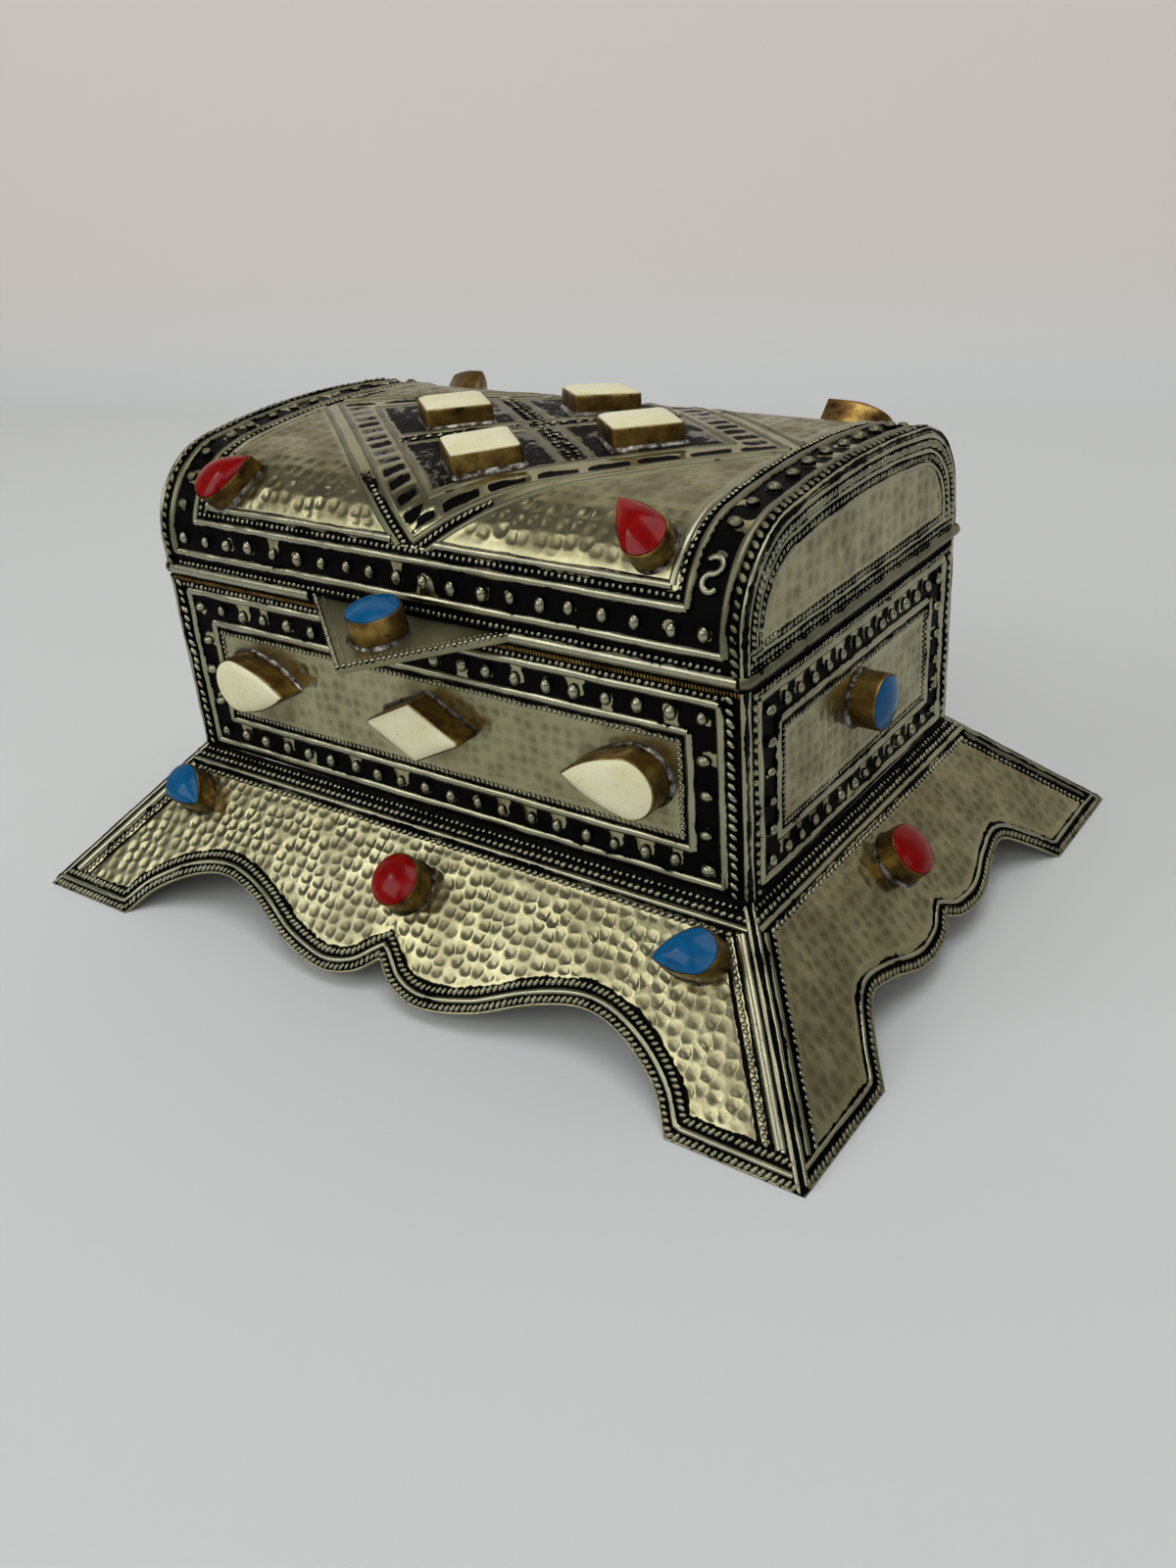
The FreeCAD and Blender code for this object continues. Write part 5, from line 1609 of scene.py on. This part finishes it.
def rim_wire():
    """Wire along the lid's lower edge, from each back corner round the front corner to the tab."""
    low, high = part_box("lid_rim_wire")
    z = (low.z + high.z) / 2
    turn = np.linspace(0, math.pi / 2, 7)
    side_lines = []
    front_lines = []
    for s in (-1, 1):
        tab_x = TAB_CENTRE_X + s * (TAB_HALF_WIDTH + WIRE_TO_TAB)
        outward = [(s, 0.0, 0.0)]
        points = [(s * HALF_LENGTH, high.y, z)]
        for angle in turn:
            direction = np.array((s * math.cos(angle), -math.sin(angle), 0.0))
            middle = np.array((s * (HALF_LENGTH - WIRE_BEND), WIRE_BEND - HALF_DEPTH, z))
            points.append(tuple(middle + direction * WIRE_BEND))
            outward.append(tuple(direction))
        side_lines.append((np.array(points), np.array(outward)))
        straight = np.array([points[-1], (tab_x, -HALF_DEPTH, z)])
        front_lines.append((straight, np.array([outward[-1]] * 2)))
    # The wire along the lid's ends and round to the back takes the darker silver: painted shade
    sides = row_of("bent_side_wire", side_lines, RIM_WIRE, WIRE_SEED, DULL_AND_SHADED_SILVER)
    front = row_of("bent_front_wire", front_lines, RIM_WIRE, WIRE_SEED)
    return join("bent_rim_wire", [front, sides])


# Thumb tab

TAB_UP = (0, math.cos(TAB_DROOP), math.sin(TAB_DROOP))
TAB_SIDE = FlatSide((TAB_CENTRE_X, -HALF_DEPTH, TAB_TOP), (1, 0, 0), TAB_UP)
TAB_EDGE_IN = 0.45 * MM
TAB_DOTS_IN = 1.8 * MM
TAB_ROW_SHARE = 0.985
TAB_BEVEL = 0.25 * MM


def tab_line(side, inset):
    """Line inside one slanting edge of the tab."""
    edge = np.array((TAB_HALF_WIDTH, TAB_LENGTH))
    inward = np.array((-edge[1], edge[0])) / np.linalg.norm(edge) * inset
    start = np.array((0.0, -TAB_LENGTH)) + (0.0, inset * np.linalg.norm(edge) / TAB_HALF_WIDTH)
    end = np.array((TAB_HALF_WIDTH, 0.0)) + inward
    end = start + (end - start) * TAB_ROW_SHARE
    return [(side * start[0], start[1]), (side * end[0], end[1])]


def lift_tab():
    """Triangular plate with a milled edge and a dotted line inside it."""
    mesh = bpy.data.meshes.new("tab_plate")
    work = bmesh.new()
    corners = [(-TAB_HALF_WIDTH, 0.0), (0.0, -TAB_LENGTH), (TAB_HALF_WIDTH, 0.0)]
    top, outward = TAB_SIDE.place(np.array(corners))
    low = top - outward * TAB_THICKNESS
    low[0, 2] = low[2, 2] = LID_BOTTOM
    upper = [work.verts.new(point) for point in top]
    lower = [work.verts.new(point) for point in low]
    work.faces.new(upper)
    work.faces.new(lower[::-1])
    for i in range(3):
        work.faces.new((upper[i - 1], lower[i - 1], lower[i], upper[i]))
    bmesh.ops.bevel(work, geom=work.edges[:], offset=TAB_BEVEL, segments=3, affect="EDGES", profile=0.5)
    settle(work, mesh, TAB_SILVER)
    plate = added("engraved_lift_tab", mesh)
    rows = [
        (MILLING, [tab_line(s, TAB_EDGE_IN) for s in (-1, 1)]),
        (TAB_DOTS, [tab_line(s, TAB_DOTS_IN) for s in (-1, 1)]),
    ]
    return plate, beadwork("beadwork_lift_tab", TAB_SIDE, rows, TAB_SEED)


# Stones in their settings. Outlines are closed loops round the stone's middle, anticlockwise.

# Sections of a bezel's rubbed lip and of the solder at its foot: (distance outwards, height), in millimetres
BEZEL_LIP = ((0.6, -0.5), (0.58, -0.2), (0.52, -0.05), (0.44, 0.0), (0.36, -0.04), (0.3, -0.2))
BEZEL_LEDGE = 1.2 * MM
SOLDER_SECTION = ((1.2, -0.3), (1.15, 0.05), (1.0, 0.13), (0.85, 0.3), (0.68, 0.55), (0.5, -0.3))
# Swell of the solder: its limits, its mean, and lobes round a stone with how far they swell
SOLDER_SWELL = (0.08, 1.7)
SOLDER_MEAN = 0.75
SOLDER_LUMPS = ((1, 0.5), (3, 0.35))
# Rings of a stone's dome, as shares of its girdle
DOME_RINGS = (0.995, 0.975, 0.94, 0.88, 0.78, 0.64, 0.48, 0.32, 0.16, 0.05)


def round_outline():
    """Circle of a round stone."""
    angle = np.linspace(0, 2 * math.pi, 40, endpoint=False)
    return np.column_stack([np.cos(angle), np.sin(angle)]) * ROUND_RADIUS


def drop_outline(length, width):
    """Drop with its point towards -X and gently swelling sides."""
    radius = width / 2
    centre = length / 2 - radius
    angle = np.linspace(-DROP_HEAD, DROP_HEAD, 33)
    head = np.column_stack([centre + radius * np.cos(angle), radius * np.sin(angle)])
    tip = np.array((-length / 2, 0.0))
    shoulder = head[-1]
    swell = (tip + shoulder) / 2 + np.array(DROP_SWELL) * width
    s = np.linspace(0, 1, 10, endpoint=False)[1:, None]
    upper = shoulder * (1 - s) * (1 - 2 * s) + swell * 4 * s * (1 - s) + tip * s * (2 * s - 1)
    lower = upper[::-1] * (1, -1)
    return np.vstack([head, upper, tip[None], lower])


def polygon_outline(corners, radius=0.35 * MM):
    """Polygon with slightly rounded corners, several points along each side."""
    loop = []
    corners = np.array(corners)
    for before, here, after in zip(np.roll(corners, 1, 0), corners, np.roll(corners, -1, 0)):
        to_before = (before - here) / np.linalg.norm(before - here)
        to_after = (after - here) / np.linalg.norm(after - here)
        start = here + to_before * radius
        end = here + to_after * radius
        for s in (0.0, 0.33, 0.67, 1.0):
            loop.append(start * (1 - s) ** 2 + here * 2 * s * (1 - s) + end * s ** 2)
        for s in (0.25, 0.5, 0.75):
            loop.append(here * (1 - s) + after * s)
    return np.array(loop)


def lozenge_outline(half_width, half_height):
    """Lozenge with its long way along X."""
    return polygon_outline([(half_width, 0), (0, half_height), (-half_width, 0), (0, -half_height)])


def tablet_outline():
    """Parallelogram with its sides along the edges of the lid's diamond."""
    direction = np.array((math.cos(TABLET_SLANT), math.sin(TABLET_SLANT)))
    along = direction * TABLET_SIDES[0] / 2
    across = direction * (-1, 1) * TABLET_SIDES[1] / 2
    return polygon_outline([along + across, across - along, -along - across, along - across])


def grown(loop, distance):
    """Loop moved outwards by a distance, with mitred corners."""
    ahead = np.roll(loop, -1, 0) - loop
    normal = np.column_stack([ahead[:, 1], -ahead[:, 0]]) / np.linalg.norm(ahead, axis=1)[:, None]
    before = np.roll(normal, 1, 0)
    mitre = (normal + before) / (1 + (normal * before).sum(1))[:, None]
    return loop + mitre * distance


def lofted(rings, closed):
    """Points and faces through rings of equal count: closed into a tube, or ending in a middle point."""
    count = len(rings[0])
    points = np.vstack(rings)
    pairs = [(k, k + 1) for k in range(len(rings) - 1)]
    if closed:
        pairs.append((len(rings) - 1, 0))
    faces = []
    for low, high in pairs:
        for i in range(count):
            j = (i + 1) % count
            faces.append((low * count + i, low * count + j, high * count + j, high * count + i))
    if not closed:
        points = np.vstack([points, rings[-1].mean(0)[None], rings[0].mean(0)[None]])
        top = (len(rings) - 1) * count
        faces += [(top + i, top + (i + 1) % count, len(points) - 2) for i in range(count)]
        faces += [((i + 1) % count, i, len(points) - 1) for i in range(count)]
    return points, faces


class Seat:
    """Place of a stone on a sheet: local X along the sheet, Y up it, Z outwards."""

    def __init__(self, side, at, turn=0.0, half_turned=False, rim=BEZEL_RIM):
        self.side = side
        self.at = at
        self.rim = rim
        self.turn = math.radians(turn)
        points, outward = side.place(np.array([at]))
        self.point = points[0]
        self.outward = outward[0]
        self.right = np.array((1.0, 0.0, 0.0)) if isinstance(side, VaultSide) else side.along
        self.up = np.cross(self.outward, self.right)
        self.sign = np.array((-1.0, -1.0, 1.0)) if half_turned else np.ones(3)

    def turned(self, loop):
        """Loop turned as the stone is."""
        c = math.cos(self.turn)
        s = math.sin(self.turn)
        return loop @ np.array(((c, s), (-s, c)))

    def ring(self, loop, height, on_sheet=False):
        """Ring of points at a height over the seat, or over the sheet just below each of them."""
        loop = self.turned(loop)
        height = np.broadcast_to(height, len(loop)).copy()
        if on_sheet:
            height += self.side.fall(self.at, loop[:, 1])
        level = self.point + loop[:, :1] * self.right + loop[:, 1:] * self.up
        return (level + height[:, None] * self.outward) * self.sign


def bezel_shape(seat, loop):
    """Bent strip round a stone, its top edge rubbed over against the stone."""
    wall = grown(loop, BEZEL_WALL)
    rings = [seat.ring(wall, -BEZEL_FOOT, on_sheet=True)]
    rings += [seat.ring(wall, seat.rim * share) for share in (0.25, 0.5, 0.75)]
    for offset, height in BEZEL_LIP:
        rings.append(seat.ring(grown(loop, offset * MM), seat.rim + height * MM))
    inside = grown(loop, STONE_SPREAD)
    rings.append(seat.ring(inside, seat.rim - BEZEL_LEDGE))
    rings.append(seat.ring(inside, -BEZEL_FOOT, on_sheet=True))
    return lofted(rings, closed=True)


def stone_shape(seat, loop, rise, fullness, roundness):
    """Stone that fills its bezel and stands over it.

    A higher fullness gives a flatter top and a steeper edge. Roundness turns the outline towards a circle
    near the top, as on a ground cabochon.
    """
    girdle = grown(loop, STONE_SPREAD)
    reach = np.linalg.norm(girdle, axis=1, keepdims=True)
    circle = girdle / reach * reach.mean()
    side_top, shoulder = (seat.rim + height for height in STONE_GIRDLE)
    rings = [seat.ring(girdle, seat.rim - STONE_DEPTH), seat.ring(girdle, side_top)]
    for share in DOME_RINGS:
        turned = roundness * (1 - share)
        outline = girdle * (1 - turned) + circle * turned
        rings.append(seat.ring(outline * share, shoulder + rise * (1 - share ** fullness)))
    return lofted(rings, closed=False)


def solder_shape(seat, loop, seed):
    """Uneven fillet of solder where the bezel meets the sheet."""
    draw = np.random.default_rng(seed)
    angle = np.linspace(0, 2 * math.pi, len(loop), endpoint=False)
    swell = np.full(len(loop), SOLDER_MEAN)
    for lobes, share in SOLDER_LUMPS:
        swell += share * np.sin(angle * lobes + draw.uniform(0, 6))
    swell = np.clip(swell, *SOLDER_SWELL)[:, None]
    rings = []
    for offset, height in SOLDER_SECTION:
        reach = BEZEL_WALL + (offset * MM - BEZEL_WALL) * swell
        rings.append(seat.ring(grown_unevenly(loop, reach), height * MM, on_sheet=True))
    return lofted(rings, closed=True)


def grown_unevenly(loop, distances):
    """Loop moved outwards by its own distance at each point."""
    return loop + (grown(loop, 1.0 * MM) - loop) / MM * distances


def solid_piece(name, shapes, finish, smooth_angle=35):
    """One mesh object from several shapes."""
    points = []
    faces = []
    for shape_points, shape_faces in shapes:
        first = len(points)
        points.extend(shape_points.tolist())
        faces.extend(tuple(first + index for index in face) for face in shape_faces)
    mesh = bpy.data.meshes.new(name)
    mesh.from_pydata(points, [], faces)
    work = bmesh.new()
    work.from_mesh(mesh)
    settle(work, mesh, finish)
    mesh.shade_smooth()
    mesh.set_sharp_from_angle(angle=math.radians(smooth_angle))
    return added(name, mesh)


def show(obj, body, slot, *nodes):
    """Tell the frame what a piece moves with and stands for. The slot, what it is made of, is not used."""
    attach(obj, body)
    if nodes:
        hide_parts(*nodes)


STONE_FINISH = {"bone": BONE, "red_stone": RED_STONE, "blue_stone": BLUE_STONE}
# Rise, fullness and roundness of each stone
STONE_FORM = {"bone": (0.9 * MM, 4.0, 0.0), "red_stone": (STONE_DOME, 2.2, 0.9),
              "blue_stone": (1.15 * MM, 2.0, 0.9)}


def settings(body, bezel_node, stones, seed):
    """Stones that share one bezel node. stones holds (stone node, slot, seats, outline)."""
    bezels = []
    solder = []
    for stone_node, slot, seats, outline in stones:
        shapes = [stone_shape(seat, outline, *STONE_FORM[slot]) for seat in seats]
        show(solid_piece("polished_" + stone_node, shapes, STONE_FINISH[slot]), body, slot, stone_node)
        for seat in seats:
            bezels.append(bezel_shape(seat, outline))
            solder.append(solder_shape(seat, outline, seed + len(solder)))
    show(solid_piece("bent_" + bezel_node, bezels, BEZEL_BRASS), body, "bezel_brass", bezel_node)
    show(solid_piece("solder_" + bezel_node, solder, SOLDER, 80), body, "nickel_silver")


def box_settings():
    """Stones on the box's sides and skirts."""
    for number, name in enumerate(LONG_SIDES):
        wall = upright_side(name)
        slope = skirt_side(name)
        middle = Seat(wall, (0.0, FRONT_STONE_Z))
        drops = [Seat(wall, (BONE_DROP_X, FRONT_STONE_Z)), Seat(wall, (-BONE_DROP_X, FRONT_STONE_Z), 180)]
        settings("box", name + "_bone_bezels", [
            (name + "_bone_lozenge", "bone", [middle], lozenge_outline(*BONE_LOZENGE)),
            (name + "_bone_drops", "bone", drops, drop_outline(*BONE_DROP)),
        ], BONE_SEED + number)
        u, v = BLUE_DROP_PLACES[name]
        red = [Seat(slope, (0.0, SKIRT_RED_UP_SLOPE))]
        blue = [Seat(slope, (u, v), BLUE_DROP_TURN), Seat(slope, (-u, v), 180 - BLUE_DROP_TURN)]
        settings("box", name + "_skirt_bezels", [
            (name + "_skirt_red_stone", "red_stone", red, round_outline()),
            (name + "_skirt_blue_drops", "blue_stone", blue, drop_outline(*BLUE_DROP)),
        ], SKIRT_STONE_SEED + number)
    for number, name in enumerate(("right", "left")):
        blue = [Seat(upright_side(name), (0.0, END_STONE_Z))]
        settings("box", name + "_blue_bezel", [
            (name + "_blue_stone", "blue_stone", blue, round_outline()),
        ], END_BLUE_SEED + number)
        at = (END_SKIRT_RED_ALONG, SKIRT_RED_UP_SLOPE)
        red = [Seat(skirt_side(name), at, rim=END_SKIRT_BEZEL_RIM)]
        settings("box", name + "_skirt_red_bezel", [
            (name + "_skirt_red_stone", "red_stone", red, round_outline()),
        ], END_RED_SEED + number)


def lid_settings():
    """Stones on the lid and on its tab."""
    drops = []
    for places, half_turned in ((FRONT_RED_DROPS, False), (BACK_RED_DROPS, True)):
        for x, angle, rim in places:
            turn = -RED_DROP_TURN if x > 0 else 180 + RED_DROP_TURN
            drops.append(Seat(VAULT, (x, up_shoulder(angle)), turn, half_turned, rim))
    settings("lid", "lid_drop_bezels", [
        ("lid_red_drops", "red_stone", drops, drop_outline(*RED_DROP)),
    ], RED_DROP_SEED)
    tablets = []
    for right, back in ((0.0, -TABLET_Y), (0.0, TABLET_Y), (TABLET_X, 0.0), (-TABLET_X, 0.0)):
        over = CROWN_RADIUS * math.asin((TABLETS_CENTRE[1] + back) / CROWN_RADIUS)
        tablets.append(Seat(VAULT, (TABLETS_CENTRE[0] + right, VAULT.half + over), rim=TABLET_BEZEL_RIM))
    settings("lid", "lid_tablet_bezels", [
        ("lid_bone_tablets", "bone", tablets, tablet_outline()),
    ], TABLET_SEED)
    settings("lid", "tab_bezel", [
        ("tab_blue_stone", "blue_stone", [Seat(TAB_SIDE, (0.0, -TAB_STONE_FROM_LID))], round_outline()),
    ], TAB_STONE_SEED)


# Velvet linings

# Depth of the pile's waves, and their rates in radians a metre: along X, along Y, and upwards with each
PILE_WAVE = 0.12 * MM
WAVES_ALONG = 310
WAVES_ACROSS = 270
WAVES_UP = (190, 230)
LINING_STEP = 2.0 * MM
LINING_BEVEL = 0.35
LID_LINING = 1.0 * MM


def pile_wave(x, y, z=0.0):
    """Unevenness of the pile at a place, from -1 to 1."""
    return np.sin(x * WAVES_ALONG + z * WAVES_UP[0]) * np.sin(y * WAVES_ACROSS + z * WAVES_UP[1])


def velvet_slab(node_name):
    """Flat lining glued to a board, with soft edges and a slightly uneven face."""
    low, high = (np.array(corner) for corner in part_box(node_name))
    size = high - low
    work = bmesh.new()
    middle = (low + high) / 2
    bmesh.ops.create_cube(work, size=1.0, matrix=Matrix.Translation(middle) @ Matrix.Diagonal((*size, 1.0)))
    thin = int(np.argmin(size))
    bmesh.ops.bevel(work, geom=work.edges[:], offset=min(size) * LINING_BEVEL, segments=3,
                    affect="EDGES", profile=0.5)
    for axis in range(3):
        if axis == thin:
            continue
        normal = np.eye(3)[axis]
        for place in np.arange(low[axis] + LINING_STEP, high[axis] - LINING_STEP / 2, LINING_STEP):
            geometry = work.verts[:] + work.edges[:] + work.faces[:]
            bmesh.ops.bisect_plane(work, geom=geometry, plane_co=normal * place, plane_no=normal)
    on_floor = thin == 2
    inward = np.eye(3)[thin] * (-1.0 if middle[thin] > 0 and not on_floor else 1.0)
    for vertex in work.verts:
        place = np.array(vertex.co)
        if (place - middle) @ inward > 0:
            vertex.co -= Vector(inward) * PILE_WAVE * (1 + pile_wave(*place))
    mesh = bpy.data.meshes.new("velvet_" + node_name)
    settle(work, mesh, VELVET)
    mesh.shade_smooth()
    flat = tuple(float(size[axis]) for axis in range(3) if axis != thin)
    return added("velvet_" + node_name, mesh), flat


def velvet_vault():
    """Lining under the vault, from rail to rail."""
    low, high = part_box("lid_lining")
    v = np.linspace(LID_SIDE, 2 * VAULT.half - LID_SIDE, 120)
    u = np.linspace(low.x, high.x, 60)
    rows = []
    for inset in (SHEET, SHEET + LID_LINING):
        drawing = np.array([(x, y) for y in v for x in u])
        points, outward = VAULT.place(drawing)
        wave = pile_wave(drawing[:, 0], drawing[:, 1])
        uneven = PILE_WAVE * (wave - 1) if inset > SHEET else np.zeros_like(wave)
        rows.append(points - outward * (inset + uneven)[:, None])
    count = len(v) * len(u)
    glued = grid_faces(len(v), len(u))
    faces = glued + [tuple(count + index for index in reversed(face)) for face in glued]
    rim = grid_rim(len(v), len(u))
    for here, after in zip(rim, rim[1:] + rim[:1]):
        faces.append((after, here, count + here, count + after))
    obj = solid_piece("velvet_lid_lining", [(np.vstack(rows), faces)], VELVET, 60)
    return obj, (float(high.x - low.x), float(2 * (VAULT.half - LID_SIDE)))


def linings():
    """Velvet of the compartment and of the lid."""
    boards = {"floor": "floor_board", "front": "front_board", "back": "back_board",
              "right": "right_board", "left": "left_board"}
    for name, board in boards.items():
        lining, flat = velvet_slab(name + "_lining")
        show(lining, "box", "velvet_lining", name + "_lining")
    lining, flat = velvet_vault()
    show(lining, "lid", "velvet_lining", "lid_lining")


# Carried-over pieces

def finish_nodes(finish, *names):
    """Give carried-over pieces a finish."""
    for name in names:
        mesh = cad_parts[name].data
        mesh.materials.clear()
        mesh.materials.append(finish)


# Stage

FLOOR_COLOUR = (0.74, 0.765, 0.765)
WALL_COLOUR = (0.87, 0.82, 0.76)
WALL_DISTANCE = 0.42
WALL_TURN = math.radians(17)
SWEEP_RADIUS = 0.05
SWEEP_FRONT = -1.4
SWEEP_TOP = 1.4
SWEEP_HALF_WIDTH = 2.0


def backdrop():
    """Pale floor that sweeps up into a wall behind the casket."""
    bend = WALL_DISTANCE - SWEEP_RADIUS
    profile = [(SWEEP_FRONT, 0.0), (bend, 0.0)]
    for angle in np.linspace(0, math.pi / 2, 13)[1:]:
        profile.append((bend + SWEEP_RADIUS * math.sin(angle), SWEEP_RADIUS * (1 - math.cos(angle))))
    profile.append((WALL_DISTANCE, SWEEP_TOP))
    out = np.array((-math.sin(WALL_TURN), math.cos(WALL_TURN), 0.0))
    along = np.array((math.cos(WALL_TURN), math.sin(WALL_TURN), 0.0))
    points = [along * reach + out * distance + UP * height
              for distance, height in profile for reach in (-SWEEP_HALF_WIDTH, SWEEP_HALF_WIDTH)]
    faces = [(2 * i, 2 * i + 1, 2 * i + 3, 2 * i + 2) for i in range(len(profile) - 1)]
    mesh = bpy.data.meshes.new("pale_sweep")
    mesh.from_pydata([tuple(point) for point in points], [], faces)
    mesh.shade_smooth()
    finish, tree, shader, place = new_finish("pale_sweep_cloth")
    height = node(tree, "ShaderNodeSeparateXYZ", {0: place}).outputs["Z"]
    colour = ramped(tree, between(tree, height, 0.0, 0.06), (0.0, FLOOR_COLOUR), (1.0, WALL_COLOUR))
    fill(tree, shader, {"Base Color": colour, "Roughness": 0.9})
    bumped(tree, shader, cloudy(tree, place, 900.0), 0.1, 0.3 * MM)
    mesh.materials.append(finish)
    floor = added("pale_sweep", mesh)


def soft_light(name, place, target, size, power):
    """Flat studio lamp turned to a point."""
    lamp = bpy.data.lights.new(name, "AREA")
    lamp.shape = "RECTANGLE"
    lamp.size, lamp.size_y = size
    lamp.energy = power
    obj = added(name, lamp)
    obj.location = place
    direction = Vector(target) - Vector(place)
    obj.rotation_euler = direction.to_track_quat("-Z", "Y").to_euler()


def lights():
    """Window light from the front left with a small bright pane, light from above, weak fill, a dim room."""
    centre = (0.0, 0.0, 0.05)
    soft_light("front_left", (-0.57, -1.0, 0.65), centre, (0.95, 0.7), 4.6)
    soft_light("bright_pane", (-0.72, -0.6, 0.78), centre, (0.12, 0.12), 0.3)
    soft_light("overhead", (0.15, -0.1, 1.1), centre, (0.8, 0.8), 4.2)
    soft_light("front", (0.45, -0.95, 0.75), centre, (0.8, 0.7), 2.2)
    soft_light("right", (0.95, -0.1, 0.5), centre, (0.4, 0.4), 0.4)
    world = bpy.data.worlds.new("dim_room")
    world.use_nodes = True
    room = world.node_tree.nodes["Background"]
    room.inputs["Color"].default_value = (0.95, 0.95, 1.0, 1.0)
    room.inputs["Strength"].default_value = 0.12
    scene = bpy.context.scene
    scene.world = world
    scene.view_settings.view_transform = "Standard"


# Camera, solved from the corners of the box in the photograph
CAMERA_PLACE = (161.3 * MM, -205.5 * MM, 151.6 * MM)
CAMERA_RIGHT = (0.8149, 0.5751, -0.0718)
CAMERA_DOWN = (0.2184, -0.4195, -0.8811)
CAMERA_FORWARD = (-0.5368, 0.7023, -0.4675)
CAMERA_LENS = 32.36


def camera():
    """Camera at the photograph's view."""
    data = bpy.data.cameras.new("camera")
    data.lens = CAMERA_LENS
    data.sensor_width = 36.0
    data.clip_start = 0.01
    obj = added("camera", data)
    turn = Matrix((CAMERA_RIGHT, -Vector(CAMERA_DOWN), -Vector(CAMERA_FORWARD))).transposed()
    obj.matrix_world = Matrix.Translation(CAMERA_PLACE) @ turn.to_4x4()
    bpy.context.scene.camera = obj


def show_silver(body, node_name, pieces):
    """A sheet that stands for a node, and the raised work on it."""
    sheet, raised = pieces
    show(sheet, body, "nickel_silver", node_name)
    show(raised, body, "nickel_silver")


def main():
    """The whole casket on its stage."""
    for number, name in enumerate(ALONG):
        show_silver("box", name + "_panel", panel(name, PANEL_SEED + number))
        show_silver("box", name + "_skirt", skirt(name, SKIRT_SEED + number))
    show_silver("lid", "lid_vault", vault())
    for number, name in enumerate(("right", "left")):
        show_silver("lid", "lid_" + name + "_panel", lid_end(name, LID_END_SEED + number))
    show_silver("lid", "lift_tab", lift_tab())
    show(rim_wire(), "lid", "nickel_silver", "lid_rim_wire")
    box_settings()
    lid_settings()
    linings()
    finish_nodes(WOOD_ALONG_X, "floor_board", "front_board", "back_board", "lid_front_rail", "lid_back_rail")
    finish_nodes(WOOD_ALONG_Y, "right_board", "left_board", "lid_right_board", "lid_left_board")
    finish_nodes(HINGE_STEEL, "hinge_body_leaf", "hinge_lid_leaf", "hinge_pin", "hinge_body_nails",
                 "hinge_lid_nails", "skirt_tacks")
    backdrop()
    lights()
    camera()
    bpy.context.view_layer.update()


main()
